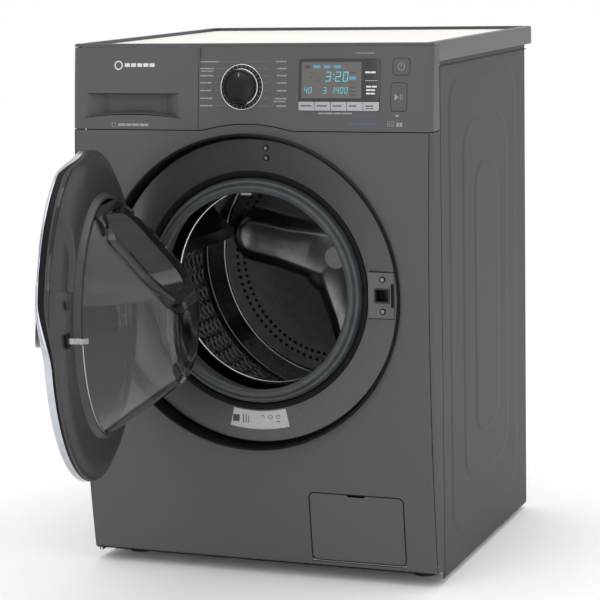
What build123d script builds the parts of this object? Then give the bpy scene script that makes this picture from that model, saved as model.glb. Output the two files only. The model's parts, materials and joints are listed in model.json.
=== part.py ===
"""Front load washing machine: cabinet, door, drawer, controls, tub, drum, drive and suspension.

Millimetres. X to the right of a person facing the machine, Y to the rear, Z up.
The origin is on the floor at the centre of the four feet. The door stands open.
"""
import os
from math import asin, cos, hypot, radians, sin, sqrt

from build123d import *

os.makedirs("parts", exist_ok=True)

# ---- Driving dimensions -------------------------------------------------------------
WIDTH = 600.0
HEIGHT = 850.0
AXIS_Z = 462.0            # height of the drum axis, the door ring and the door
FRONT_Y = -280.0          # foremost line of the bowed front, at the height of the axis
FRONT_RADIUS = 3270.0     # vertical bow of the front panel and the control panel
CORNER_RADIUS = 10.0      # rounded upright corners of the front
SEAM_Y = -226.0           # where the wrapped front meets the side panels
REAR_Y = 275.0
SHEET = 1.0               # painted steel sheet
FRONT_SHEET = 1.2
GAP = 0.8                 # visible seam between neighbouring covers
SIDE_LOW = 10.0
FRONT_LOW = 22.0
LID_LOW = 820.0
LID_REAR = 318.0
LID_FRONT = -256.5
RIM_DEPTH = 5.0           # rim of the top cover above its board
PANEL_SEAM = 715.0        # seam between front panel and control panel
PANEL_TOP = 845.0
PANEL_WALL = 2.5
RING_RADIUS = 249.4
RING_FRONT = -286.5
RING_LAND = 14.0          # front panel left above the door ring
LATCH_LOW = 427.0
LATCH_HIGH = 500.0
SLOT_X = 213.6            # centre of the lock slot
SLOT_Z = 463.0
DOOR_RADIUS = 244.5
DOOR_INNER = -274.0       # plane of the door's inner face when shut
DOME_RISE = 46.0
HINGE_X = -226.0
HINGE_Y = -311.0
DOOR_OPEN = 78.0          # the door stands this far open at rest
DRAWER_SEAM = -82.0       # right edge of the drawer front
DRUM_RADIUS = 236.0       # inside of the drum wall
DRUM_LIP = 158.0
DRUM_FRONT = -184.0
DRUM_REAR = 134.0
SHAFT_RADIUS = 15.0
PULLEY_RADIUS = 140.0
MOTOR_PULLEY_RADIUS = 12.0
MOTOR_Z = 128.0
FOOT_SPACING_X = 500.0
FOOT_SPACING_Y = 340.0
RUNNING = 0.05            # radial clearance of pins and shafts

# ---- Reference planes and axes ------------------------------------------------------
axial = Plane.XY.offset(AXIS_Z)
drum_axis = Axis((0, 0, AXIS_Z), (0, 1, 0))
door_hinge = Axis((HINGE_X, HINGE_Y, 0), (0, 0, 1))


def front_y(z):
    """Depth of the bowed front at a height."""
    return FRONT_Y + FRONT_RADIUS - sqrt(FRONT_RADIUS**2 - (z - AXIS_Z) ** 2)


CONTROL_Z = 783.0
control_tilt = asin((CONTROL_Z - AXIS_Z) / FRONT_RADIUS)
control_plane = Plane(
    origin=(0, front_y(CONTROL_Z), CONTROL_Z),
    x_dir=(1, 0, 0),
    z_dir=(0, -cos(control_tilt), sin(control_tilt)),
)


def outline(plane, *points):
    """A closed straight-sided profile on a plane."""
    with BuildSketch(plane) as profile:
        with BuildLine():
            Polyline(*points, close=True)
        make_face()
    return profile.sketch


def rectangle_on(plane, left, right, low, high, corner=0.0):
    """A rectangle given by its sides, with optional round corners."""
    with BuildSketch(plane) as profile:
        with Locations(((left + right) / 2, (low + high) / 2)):
            if corner:
                RectangleRounded(right - left, high - low, corner)
            else:
                Rectangle(right - left, high - low)
    return profile.sketch


def block(left, right, front, rear, low, high):
    """A plain box given by its six faces."""
    with BuildPart() as solid:
        with Locations(((left + right) / 2, (front + rear) / 2, (low + high) / 2)):
            Box(right - left, rear - front, high - low)
    return solid.part


def front_block(low, high, inset):
    """Solid behind the bowed front, reduced by an inset on the front and the sides."""
    middle = (low + high) / 2
    foot = (front_y(low) + inset, low)
    crest = (front_y(middle) + inset, middle)
    head = (front_y(high) + inset, high)
    with BuildPart() as solid:
        with BuildSketch(Plane.YZ.offset(inset - WIDTH / 2)):
            with BuildLine():
                ThreePointArc(foot, crest, head)
                Polyline(head, (SEAM_Y, high), (SEAM_Y, low), foot)
            make_face()
        extrude(amount=WIDTH - 2 * inset)
        fillet(solid.edges().filter_by(GeomType.CIRCLE), CORNER_RADIUS - inset)
    return solid.part


def with_round_corners(solid, low, inset):
    """The solid with its two lower side corners rounded off."""
    side = WIDTH / 2 - inset
    kept = rectangle_on(Plane.XZ, -side, side, low, 800, LOWER_CORNER - inset)
    with BuildPart() as rounded:
        add(solid)
        extrude(kept, amount=400, both=True, mode=Mode.INTERSECT)
    return rounded.part


def below_seam(gap):
    """Everything under the control panel seam, which arches over the door ring."""
    seam = PANEL_SEAM + gap
    with BuildSketch(Plane.XZ) as region:
        with Locations((0, seam / 2)):
            Rectangle(WIDTH + 40, seam)
        with Locations((0, AXIS_Z)):
            Circle(RING_RADIUS + RING_LAND + gap)
        joints = region.vertices().filter_by(lambda v: abs(v.Y - seam) < 0.1 and abs(v.X) < 200)
        fillet(joints, 70)
    return region.sketch


# ---- Cabinet ------------------------------------------------------------------------
PANEL_FACE = 297.4        # plain outer face of a side panel
PRESS_STEP = 1.3
PRESS_SLOPE = 9.0
pressed_fields = (
    # front, rear, low, high, corner
    (-178.0, 214.0, 62.0, 792.0, 50.0),
    (-110.0, 154.0, 130.0, 722.0, 60.0),
    (-48.0, 96.0, 196.0, 650.0, 50.0),
)


def pressed_step(face, field):
    """One raised field of the side panel, from its foot to its flat top."""
    front, rear, low, high, corner = field
    foot = rectangle_on(Plane.YZ.offset(face), front, rear, low, high, corner)
    inner = (front + PRESS_SLOPE, rear - PRESS_SLOPE, low + PRESS_SLOPE, high - PRESS_SLOPE)
    top = rectangle_on(Plane.YZ.offset(face + PRESS_STEP), *inner, corner - PRESS_SLOPE)
    return [foot, top]


with BuildPart() as right_side_panel:
    plain = (SEAM_Y + GAP, REAR_Y, SIDE_LOW, LID_LOW - GAP)
    extrude(rectangle_on(Plane.YZ.offset(PANEL_FACE - SHEET), *plain), amount=SHEET)
    for level, field in enumerate(pressed_fields):
        loft(pressed_step(PANEL_FACE + level * PRESS_STEP, field))
    for level, field in enumerate(pressed_fields):
        loft(pressed_step(PANEL_FACE - SHEET + level * PRESS_STEP, field), mode=Mode.SUBTRACT)
right_side_panel.part.label = "right_side_panel"
export_step(right_side_panel.part, "parts/right_side_panel.step")

with BuildPart() as left_side_panel:
    mirror(right_side_panel.part, about=Plane.YZ)
left_side_panel.part.label = "left_side_panel"
export_step(left_side_panel.part, "parts/left_side_panel.step")

INLET = (-215.0, 768.0)
DRAIN = (238.0, 150.0)
GLAND = (225.0, 700.0)
TRANSIT_X = 205.0
TRANSIT_Z = 190.0
with BuildPart() as rear_panel:
    inner_face = PANEL_FACE - SHEET
    rear_plane = Plane.XZ.offset(-REAR_Y)
    extrude(rectangle_on(rear_plane, -inner_face, inner_face, SIDE_LOW, LID_LOW - GAP), amount=SHEET)
    dish = [(0, 280), (150, 280), (162, 275), (168, 275), (168, 274), (161.8, 274), (149.8, 279), (0, 279)]
    with BuildSketch(rear_plane):
        with Locations((0, AXIS_Z)):
            Circle(165)
    extrude(amount=20, both=True, mode=Mode.SUBTRACT)
    revolve(outline(axial, *dish), axis=drum_axis)
    with BuildSketch(rear_plane):
        with Locations(INLET):
            Circle(17)
        with Locations(DRAIN):
            Circle(16)
        with Locations(GLAND):
            Circle(9.5)
        with Locations((0, AXIS_Z)):
            with GridLocations(2 * TRANSIT_X, 2 * TRANSIT_Z, 2, 2):
                Circle(14)
        with Locations((0, 90)):
            with GridLocations(0, 12, 1, 6):
                SlotOverall(90, 5)
    extrude(amount=20, both=True, mode=Mode.SUBTRACT)
rear_panel.part.label = "rear_panel"
export_step(rear_panel.part, "parts/rear_panel.step")

with BuildPart() as base_tray:
    add(block(-296, 296, -214, 273.8, 14, 34))
    add(block(-292, 292, -210, 270, 18, 60), mode=Mode.SUBTRACT)
    with BuildSketch(Plane.XY.offset(14)):
        with GridLocations(FOOT_SPACING_X, FOOT_SPACING_Y, 2, 2):
            Circle(16)
        with GridLocations(0, 110, 1, 4):
            Rectangle(584.5, 5)
    extrude(amount=20)
    with BuildSketch(Plane.XY.offset(14)):
        with GridLocations(FOOT_SPACING_X, FOOT_SPACING_Y, 2, 2):
            Circle(5.3)
    extrude(amount=16, mode=Mode.SUBTRACT)
base_tray.part.label = "base_tray"
export_step(base_tray.part, "parts/base_tray.step")

FOOT_PAD = 20.0
with BuildPart() as feet:
    with BuildSketch():
        with GridLocations(FOOT_SPACING_X, FOOT_SPACING_Y, 2, 2):
            Circle(FOOT_PAD)
    extrude(amount=8)
    with BuildSketch(Plane.XY.offset(8)):
        with GridLocations(FOOT_SPACING_X, FOOT_SPACING_Y, 2, 2):
            RegularPolygon(9, 6)
    extrude(amount=5)
    with BuildSketch(Plane.XY.offset(13)):
        with GridLocations(FOOT_SPACING_X, FOOT_SPACING_Y, 2, 2):
            Circle(5)
    extrude(amount=16)
feet.part.label = "feet"
export_step(feet.part, "parts/feet.step")

# ---- Front panel and service flap ---------------------------------------------------
LOWER_CORNER = 8.0
FLAP_LEFT, FLAP_RIGHT = 88.0, 245.0
FLAP_LOW, FLAP_HIGH = 32.0, 145.0
FLAP_CORNER = 9.0
FLAP_PIVOT_Y = front_y(FLAP_LOW) + 3.0
FLAP_PIVOT_Z = FLAP_LOW + 1.5
FLAP_PIN = 1.5
flap_opening = (FLAP_LEFT - 1, FLAP_RIGHT + 1, FLAP_LOW - 2.4, FLAP_HIGH + 1)

with BuildPart() as front_panel:
    inner_low = FRONT_LOW + FRONT_SHEET
    add(with_round_corners(front_block(FRONT_LOW, 745, 0), FRONT_LOW, 0))
    hollow = with_round_corners(front_block(inner_low, 760, FRONT_SHEET), inner_low, FRONT_SHEET)
    add(hollow, mode=Mode.SUBTRACT)
    extrude(below_seam(0), amount=400, both=True, mode=Mode.INTERSECT)
    with BuildSketch(Plane.XZ):
        with Locations((0, AXIS_Z)):
            Circle(RING_RADIUS + 0.6)
    extrude(amount=400, mode=Mode.SUBTRACT)
    window = rectangle_on(Plane.XZ, *flap_opening, FLAP_CORNER + 1)
    extrude(window, amount=400, mode=Mode.SUBTRACT)
    tight_corner = rectangle_on(Plane.XZ, *flap_opening[:3], FLAP_LOW + 22, 4)
    extrude(tight_corner, amount=400, mode=Mode.SUBTRACT)
    for left in (FLAP_LEFT - 5.5, FLAP_RIGHT + 1.5):
        add(block(left, left + 4, FLAP_PIVOT_Y - 2.2, FLAP_PIVOT_Y + 4, 30.5, 40))
    with BuildSketch(Plane.YZ):
        with Locations((FLAP_PIVOT_Y, FLAP_PIVOT_Z)):
            Circle(FLAP_PIN + RUNNING)
    extrude(amount=300, mode=Mode.SUBTRACT)
front_panel.part.label = "front_panel"
export_step(front_panel.part, "parts/front_panel.step")

NOTCH = 31.0
with BuildPart() as filter_cover:
    add(front_block(FRONT_LOW + 2, 300, 0.3))
    add(front_block(FRONT_LOW, 310, 2.8), mode=Mode.SUBTRACT)
    face = rectangle_on(Plane.XZ, FLAP_LEFT, FLAP_RIGHT, FLAP_LOW, FLAP_HIGH, FLAP_CORNER)
    extrude(face, amount=400, mode=Mode.INTERSECT)
    with BuildSketch(Plane.XZ):
        with Locations(((FLAP_LEFT + FLAP_RIGHT) / 2, FLAP_HIGH)):
            SlotOverall(NOTCH, 8)
    extrude(amount=400, mode=Mode.SUBTRACT)
    for left in (FLAP_LEFT + 6, FLAP_RIGHT - 10):
        add(block(left, left + 4, FLAP_PIVOT_Y - 1.5, FLAP_PIVOT_Y + 1.5, FLAP_LOW, FLAP_LOW + 6))
    with BuildSketch(Plane.YZ.offset(FLAP_LEFT - 5)):
        with Locations((FLAP_PIVOT_Y, FLAP_PIVOT_Z)):
            Circle(FLAP_PIN)
    extrude(amount=12)
    with BuildSketch(Plane.YZ.offset(FLAP_RIGHT + 5)):
        with Locations((FLAP_PIVOT_Y, FLAP_PIVOT_Z)):
            Circle(FLAP_PIN)
    extrude(amount=-12)
filter_cover.part.label = "filter_cover"
export_step(filter_cover.part, "parts/filter_cover.step")

# ---- Top cover ----------------------------------------------------------------------
LID_INSIDE = HEIGHT - RIM_DEPTH
BOARD = 12.0
board_edges = (-288.0, 288.0, LID_FRONT + 8.5, LID_REAR - 12)

with BuildPart() as top_cover_frame:
    add(block(-300, 300, LID_FRONT, LID_REAR, LID_LOW, HEIGHT))
    fillet(top_cover_frame.edges().filter_by(Axis.Z), 8)
    fillet(top_cover_frame.faces().sort_by(Axis.Z)[-1].edges(), 2.5)
    add(block(-301, 301, LID_FRONT - 1, SEAM_Y, LID_LOW - 1, PANEL_TOP + 0.4), mode=Mode.SUBTRACT)
    add(block(*board_edges, LID_INSIDE - BOARD - 0.2, HEIGHT + 1), mode=Mode.SUBTRACT)
    add(block(-278, 278, SEAM_Y + 6, LID_REAR - 24, LID_LOW - 1, HEIGHT), mode=Mode.SUBTRACT)
    add(block(-297.6, 297.6, SEAM_Y + 2, LID_REAR - 2.4, LID_LOW - 1, LID_LOW + 8), mode=Mode.SUBTRACT)
top_cover_frame.part.label = "top_cover_frame"
export_step(top_cover_frame.part, "parts/top_cover_frame.step")

with BuildPart() as top_cover_board:
    left, right, front, rear = board_edges
    add(block(left + 0.2, right - 0.2, front + 0.2, rear - 0.2, LID_INSIDE - BOARD, LID_INSIDE))
    fillet(top_cover_board.faces().sort_by(Axis.Z)[-1].edges(), 0.6)
top_cover_board.part.label = "top_cover_board"
export_step(top_cover_board.part, "parts/top_cover_board.step")

# ---- Control panel ------------------------------------------------------------------
DIAL = (-8.5, 0.0)                      # on the control plane, from its origin
DIAL_RADIUS = 27.0
WINDOW_LEFT, WINDOW_RIGHT = 86.0, 217.0
WINDOW_LOW, WINDOW_HIGH = -21.5, 43.0
KEYS_LOW = -35.5
KEY_COUNT = 5
KEY_GAP = 0.7
POWER = (250.8, 31.5)
POWER_SIZE = (26.5, 25.0)
START = (247.4, -14.2)
START_SIZE = (25.0, 42.5)
BUTTON_CORNER = 5.0
BUTTON_GAP = 0.6
TRAVEL = 1.5
BOARD_DEPTH = 16.0                      # circuit board behind the panel's face
key_pitch = (WINDOW_RIGHT - WINDOW_LEFT) / KEY_COUNT
DRAWER_BACK = -236.0                    # back face of the drawer front

under_board = (-290.0, 290.0, LID_FRONT + 7.5, SEAM_Y + 1, 831.0, 850.0)

with BuildPart() as control_panel:
    add(front_block(PANEL_SEAM - 20, PANEL_TOP, 0))
    add(front_block(PANEL_SEAM - 30, PANEL_TOP - PANEL_WALL, PANEL_WALL), mode=Mode.SUBTRACT)
    extrude(below_seam(1.5), amount=400, both=True, mode=Mode.SUBTRACT)
    add(block(-310, DRAWER_SEAM + GAP, -320, DRAWER_BACK + GAP, 700, 850), mode=Mode.SUBTRACT)
    add(block(-296, DRAWER_SEAM + 3.3, DRAWER_BACK + GAP, DRAWER_BACK + 3.2, 717.5, 844))
    add(block(DRAWER_SEAM + GAP, DRAWER_SEAM + 3.3, -262, DRAWER_BACK + 3.2, 718, 844))
    extrude(below_seam(1.5), amount=400, both=True, mode=Mode.SUBTRACT)
    add(block(-291, -93, -250, -200, 724, 824), mode=Mode.SUBTRACT)
    add(block(*under_board), mode=Mode.SUBTRACT)
    with BuildSketch(control_plane.offset(-12)):
        with Locations(DIAL):
            Circle(7.0)
        with Locations(((WINDOW_LEFT + WINDOW_RIGHT) / 2, (KEYS_LOW + WINDOW_HIGH) / 2)):
            RectangleRounded(WINDOW_RIGHT - WINDOW_LEFT + 0.6, WINDOW_HIGH - KEYS_LOW + 0.6, 4.5)
        for place, size in ((POWER, POWER_SIZE), (START, START_SIZE)):
            with Locations(place):
                RectangleRounded(size[0] + 2 * BUTTON_GAP, size[1] + 2 * BUTTON_GAP, BUTTON_CORNER + BUTTON_GAP)
    extrude(amount=24, mode=Mode.SUBTRACT)
control_panel.part.label = "control_panel"
export_step(control_panel.part, "parts/control_panel.step")

with BuildPart() as display_window:
    pane = (WINDOW_LEFT, WINDOW_RIGHT, WINDOW_LOW + 0.4, WINDOW_HIGH)
    extrude(rectangle_on(control_plane.offset(-5.2), *pane, 4.0), amount=5.8)
    rim = (WINDOW_LEFT - 3, WINDOW_RIGHT + 3, WINDOW_LOW + 0.4, WINDOW_HIGH + 3)
    extrude(rectangle_on(control_plane.offset(-5.2), *rim, 4.0), amount=2.2)
    lcd = (WINDOW_LEFT + 6, WINDOW_RIGHT - 26, WINDOW_LOW + 5, WINDOW_HIGH - 3)
    extrude(rectangle_on(control_plane.offset(-11.0), *lcd), amount=6.0)
display_window.part.label = "display_window"
export_step(display_window.part, "parts/display_window.step")

key_centres = [WINDOW_LEFT + key_pitch * (i + 0.5) for i in range(KEY_COUNT)]
key_height = WINDOW_LOW - 0.4 - KEYS_LOW
for number, key_x in enumerate(key_centres, start=1):
    key_place = (key_x, KEYS_LOW + key_height / 2)
    with BuildPart() as option_button:
        with BuildSketch(control_plane.offset(-3.0)):
            with Locations(key_place):
                Rectangle(key_pitch - KEY_GAP, key_height)
            with Locations(((WINDOW_LEFT + WINDOW_RIGHT) / 2, (KEYS_LOW + WINDOW_HIGH) / 2)):
                width, height = WINDOW_RIGHT - WINDOW_LEFT, WINDOW_HIGH - KEYS_LOW
                RectangleRounded(width, height, 4.0, mode=Mode.INTERSECT)
        extrude(amount=4.4)
        with BuildSketch(control_plane.offset(-3.0)):
            with Locations(key_place):
                Rectangle(6, 6)
        extrude(amount=3.0 + 4.3 + TRAVEL - BOARD_DEPTH)
    option_button.part.label = f"option_button_{number}"
    export_step(option_button.part, f"parts/option_button_{number}.step")

with BuildPart() as power_button:
    with BuildSketch(control_plane.offset(-4.0)):
        with Locations(POWER):
            RectangleRounded(*POWER_SIZE, BUTTON_CORNER)
    extrude(amount=4.6)
    fillet(power_button.faces().sort_by(Axis.Y)[0].edges(), 0.8)
    with BuildSketch(control_plane.offset(-4.0)):
        with Locations(POWER):
            Circle(4)
    extrude(amount=4.0 + 3.3 + TRAVEL - BOARD_DEPTH)
power_button.part.label = "power_button"
export_step(power_button.part, "parts/power_button.step")

with BuildPart() as start_button:
    with BuildSketch(control_plane.offset(-4.0)):
        with Locations(START):
            RectangleRounded(*START_SIZE, BUTTON_CORNER)
    extrude(amount=4.6)
    fillet(start_button.faces().sort_by(Axis.Y)[0].edges(), 0.8)
    with BuildSketch(control_plane.offset(-4.0)):
        with Locations(START):
            Circle(4)
    extrude(amount=4.0 + 3.3 + TRAVEL - BOARD_DEPTH)
start_button.part.label = "start_button"
export_step(start_button.part, "parts/start_button.step")

with BuildPart() as panel_circuit_board:
    extrude(rectangle_on(control_plane.offset(-BOARD_DEPTH - 1.6), -40, 280, -40, 46), amount=1.6)
    with BuildSketch(control_plane.offset(-BOARD_DEPTH)):
        for key_x in key_centres:
            with Locations((key_x, KEYS_LOW + key_height / 2)):
                Rectangle(7, 7)
        for place in (POWER, START):
            with Locations(place):
                Rectangle(9, 9)
    extrude(amount=3.3 - 0.3)
    with BuildSketch(control_plane.offset(-BOARD_DEPTH)):
        with Locations(DIAL):
            Rectangle(15, 15)
    extrude(amount=6)
    with BuildSketch(control_plane.offset(-BOARD_DEPTH - 2)):
        with Locations(DIAL):
            Circle(3 + RUNNING)
    extrude(amount=20, mode=Mode.SUBTRACT)
panel_circuit_board.part.label = "panel_circuit_board"
export_step(panel_circuit_board.part, "parts/panel_circuit_board.step")

DIAL_RISE = 14.0
with BuildPart() as dial_knob:
    with BuildSketch(control_plane.offset(0.8)):
        with Locations(DIAL):
            Circle(DIAL_RADIUS)
    extrude(amount=DIAL_RISE - 0.8)
    fillet(dial_knob.faces().sort_by(Axis.Y)[0].edges(), 2.0)
    with BuildSketch(control_plane.offset(DIAL_RISE)):
        with Locations(DIAL):
            Circle(DIAL_RADIUS - 4)
    extrude(amount=-1.0, mode=Mode.SUBTRACT)
    with BuildSketch(control_plane.offset(0.8)):
        with Locations(DIAL):
            Circle(6)
    extrude(amount=-0.8 - BOARD_DEPTH + 7)
    with BuildSketch(control_plane.offset(7 - BOARD_DEPTH)):
        with Locations(DIAL):
            Circle(3)
    extrude(amount=-7)
dial_knob.part.label = "dial_knob"
export_step(dial_knob.part, "parts/dial_knob.step")

# ---- Detergent drawer ---------------------------------------------------------------
SCOOP_LEFT, SCOOP_RIGHT = -277.0, -112.0
SCOOP_LOW, SCOOP_HIGH = 735.0, 772.0
SCOOP_ARCH = 6.0
SCOOP_DEPTH = 20.0
TRAY = (-287.0, -97.0, -234.6, -38.0, 728.0, 800.0)


def scoop_profile(y, shrink):
    """Outline of the grip recess: straight top and arched lower edge."""
    left, right = SCOOP_LEFT + shrink, SCOOP_RIGHT - shrink
    low = SCOOP_LOW + shrink / 8
    middle = ((left + right) / 2, low + SCOOP_ARCH)
    with BuildSketch(Plane.XZ.offset(-y)) as profile:
        with BuildLine():
            Polyline((left, low), (left, SCOOP_HIGH), (right, SCOOP_HIGH), (right, low))
            ThreePointArc((left, low), middle, (right, low))
        make_face()
    return profile.sketch


with BuildPart() as drawer_front:
    scoop_face = front_y((SCOOP_LOW + SCOOP_HIGH) / 2)
    add(front_block(PANEL_SEAM + 1.5, PANEL_TOP - 0.8, 0))
    add(block(DRAWER_SEAM, 310, -320, -200, 700, 860), mode=Mode.SUBTRACT)
    add(block(-310, 310, DRAWER_BACK, -200, 700, 860), mode=Mode.SUBTRACT)
    add(block(-294, DRAWER_SEAM - 5, -256, DRAWER_BACK + 5, 721, 728), mode=Mode.SUBTRACT)
    add(block(-294, DRAWER_SEAM - 5, -254, DRAWER_BACK + 5, 792, 826), mode=Mode.SUBTRACT)
    add(block(*under_board), mode=Mode.SUBTRACT)
    loft([scoop_profile(scoop_face - 4, -2), scoop_profile(scoop_face + SCOOP_DEPTH, 32)], mode=Mode.SUBTRACT)
    undercut = (-241.0, -139.0, scoop_face + 5, scoop_face + SCOOP_DEPTH - 1, SCOOP_HIGH - 1, SCOOP_HIGH + 12)
    add(block(*undercut), mode=Mode.SUBTRACT)
drawer_front.part.label = "drawer_front"
export_step(drawer_front.part, "parts/drawer_front.step")

with BuildPart() as drawer_tray:
    left, right, front, rear, low, high = TRAY
    add(block(*TRAY))
    for cell_left, cell_right in ((left + 2, -226), (-224, -162), (-160, right - 2)):
        add(block(cell_left, cell_right, front + 2, rear - 2, low + 2.4, high + 1), mode=Mode.SUBTRACT)
    add(block(left + 12, right - 12, front - 1.4, front, low + 8, high - 8))
drawer_tray.part.label = "drawer_tray"
export_step(drawer_tray.part, "parts/drawer_tray.step")

with BuildPart() as drawer_housing:
    add(block(-291, -93, -232.6, -30, 722.0, 819.0))
    add(block(-288.6, -95.4, -240, -33, 726.6, 815.0), mode=Mode.SUBTRACT)
    with BuildSketch(Plane.XY.offset(722)):
        with Locations((-200, -80)):
            Circle(14)
    extrude(amount=10, mode=Mode.SUBTRACT)
drawer_housing.part.label = "drawer_housing"
export_step(drawer_housing.part, "parts/drawer_housing.step")

# ---- Door ring and lock -------------------------------------------------------------
ANNULUS_OUTER = 241.5
ANNULUS_INNER = 190.0
ANNULUS_FRONT = -259.5
ANNULUS_REAR = -255.0
CHANNEL_FLOOR = -250.0
RING_BACK = -247.5
ring_profile = [
    (RING_RADIUS, RING_FRONT + 1),
    (RING_RADIUS, -267.6),
    (262, -267.6),
    (262, -265),
    (RING_RADIUS, -265),
    (RING_RADIUS, RING_BACK),
    (239, RING_BACK),
    (239, -256.6),
    (190.2, -252.4),
    (190.2, -246),
    (187.6, -246),
    (187.6, -253.2),
    (ANNULUS_INNER, ANNULUS_REAR),
    (ANNULUS_OUTER - 1.5, ANNULUS_FRONT),
    (ANNULUS_OUTER, ANNULUS_FRONT + 1.2),
    (ANNULUS_OUTER, CHANNEL_FLOOR),
    (RING_RADIUS - 3, CHANNEL_FLOOR),
    (RING_RADIUS - 3, RING_FRONT + 1),
    (RING_RADIUS - 2.2, RING_FRONT),
    (RING_RADIUS - 0.8, RING_FRONT),
]


def annulus_y(radius):
    """Depth of the ring's sloping face at a radius."""
    share = (radius - ANNULUS_INNER) / (ANNULUS_OUTER - ANNULUS_INNER)
    return ANNULUS_REAR + share * (ANNULUS_FRONT - ANNULUS_REAR)


screw_places = [(27.0, 688.5), (27.0, 673.0), (215.0, 488.5), (215.0, 438.4)]
PLATE_LEFT, PLATE_RIGHT = 191.3, 233.2
PLATE_FRONT = -259.8
with BuildPart() as door_ring:
    revolve(outline(axial, *ring_profile), axis=drum_axis)
    add(block(PLATE_LEFT - 0.3, PLATE_RIGHT + 0.3, -265, -240, LATCH_LOW, LATCH_HIGH), mode=Mode.SUBTRACT)
    with BuildSketch(Plane.XZ):
        with Locations(*screw_places[:2]):
            Circle(2.0)
    extrude(amount=300, mode=Mode.SUBTRACT)
door_ring.part.label = "door_ring"
export_step(door_ring.part, "parts/door_ring.step")

with BuildPart() as latch_plate:
    plate = (PLATE_LEFT, PLATE_RIGHT, PLATE_FRONT)
    add(block(*plate, PLATE_FRONT + 3, LATCH_LOW + 0.4, LATCH_HIGH - 0.4))
    add(block(*plate, -252.2, LATCH_LOW + 0.4, LATCH_LOW + 2.4))
    add(block(*plate, -252.2, LATCH_HIGH - 2.4, LATCH_HIGH - 0.4))
    add(block(SLOT_X - 11, SLOT_X + 11, -280, -250, SLOT_Z - 9.6, SLOT_Z + 9.6), mode=Mode.SUBTRACT)
    with BuildSketch(Plane.XZ):
        with Locations(*screw_places[2:]):
            Circle(2.0)
    extrude(amount=300, mode=Mode.SUBTRACT)
latch_plate.part.label = "latch_plate"
export_step(latch_plate.part, "parts/latch_plate.step")

with BuildPart() as ring_screws:
    for x, z in screw_places:
        seat = PLATE_FRONT if x > 100 else annulus_y(hypot(x, z - AXIS_Z) + 3.6) - 0.2
        with BuildSketch(Plane.XZ.offset(-seat)):
            with Locations((x, z)):
                Circle(3.6)
        extrude(amount=1.8, taper=25)
        with BuildSketch(Plane.XZ.offset(-seat)):
            with Locations((x, z)):
                Circle(1.9)
        extrude(amount=-12)
ring_screws.part.label = "ring_screws"
export_step(ring_screws.part, "parts/ring_screws.step")

with BuildPart() as door_lock:
    add(block(197, 232, -252, -230.4, 444, 499))
    add(block(SLOT_X - 10.6, SLOT_X + 10.6, -257, -232, SLOT_Z - 9.2, SLOT_Z + 9.2), mode=Mode.SUBTRACT)
    with BuildSketch(Plane.XZ):
        with Locations(screw_places[2]):
            Circle(2.2)
    extrude(amount=300, mode=Mode.SUBTRACT)
door_lock.part.label = "door_lock"
export_step(door_lock.part, "parts/door_lock.step")

# ---- Door hinge, fixed half ---------------------------------------------------------
PIN_RADIUS = 4.0
BARREL_RADIUS = 8.0
BRACKET_HALF = 33.0
KNUCKLE_LOW, KNUCKLE_HIGH = 34.0, 56.0
NOTCH_HALF = 60.0
NOTCH_EDGE = -213.0

with BuildPart() as hinge_bracket:
    with BuildSketch(Plane.XY.offset(AXIS_Z - BRACKET_HALF)):
        with BuildLine():
            Polyline(
                (-238.5, -263.4), (-238.5, -260.4), (-216, -258.4), (-216, -261.4),
                (-228, -262.4), (HINGE_X + 2, HINGE_Y + 2), (HINGE_X - 7.5, HINGE_Y + 2), close=True,
            )
        make_face()
    extrude(amount=2 * BRACKET_HALF)
    with BuildSketch(Plane.XY.offset(AXIS_Z - BRACKET_HALF)):
        with Locations((HINGE_X, HINGE_Y)):
            Circle(BARREL_RADIUS)
    extrude(amount=2 * BRACKET_HALF)
    with BuildSketch(Plane.XY.offset(AXIS_Z - BRACKET_HALF)):
        with Locations((HINGE_X, HINGE_Y)):
            Circle(PIN_RADIUS + RUNNING)
    extrude(amount=2 * BRACKET_HALF, mode=Mode.SUBTRACT)
hinge_bracket.part.label = "hinge_bracket"
export_step(hinge_bracket.part, "parts/hinge_bracket.step")

# ---- Door, drawn shut and then swung open about its hinge ---------------------------
RIM_FRONT = -290.0
DOME_RADIUS = 243.0
SHELL = 3.0
BOWL_WALL = 3.5
BOWL_SLOPE_TOP = (-263.0, 629.0)        # slanted rear of the bowl: depth, height
BOWL_SLOPE_FOOT = (-138.0, 483.0)
slope_length = hypot(BOWL_SLOPE_FOOT[0] - BOWL_SLOPE_TOP[0], BOWL_SLOPE_FOOT[1] - BOWL_SLOPE_TOP[1])
slope_y = (BOWL_SLOPE_FOOT[0] - BOWL_SLOPE_TOP[0]) / slope_length
slope_z = (BOWL_SLOPE_FOOT[1] - BOWL_SLOPE_TOP[1]) / slope_length
slope_plane = Plane(
    origin=(
        0,
        (BOWL_SLOPE_TOP[0] + BOWL_SLOPE_FOOT[0]) / 2,
        (BOWL_SLOPE_TOP[1] + BOWL_SLOPE_FOOT[1]) / 2,
    ),
    x_dir=(1, 0, 0),
    z_dir=(0, -slope_z, slope_y),
)
PASSAGE_SIZE = (196.0, 186.0)
PASSAGE_CORNER = 62.0
PASSAGE_BAR = 16.0
HATCH_CENTRE = (122.0, 106.0)           # small door, from the door's centre
HATCH_RADIUS = 130.0
HATCH_RISE = 10.0
MOUTH_CENTRE = (66.0, 96.0)
MOUTH_SIZE = (138.0, 150.0)


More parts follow.
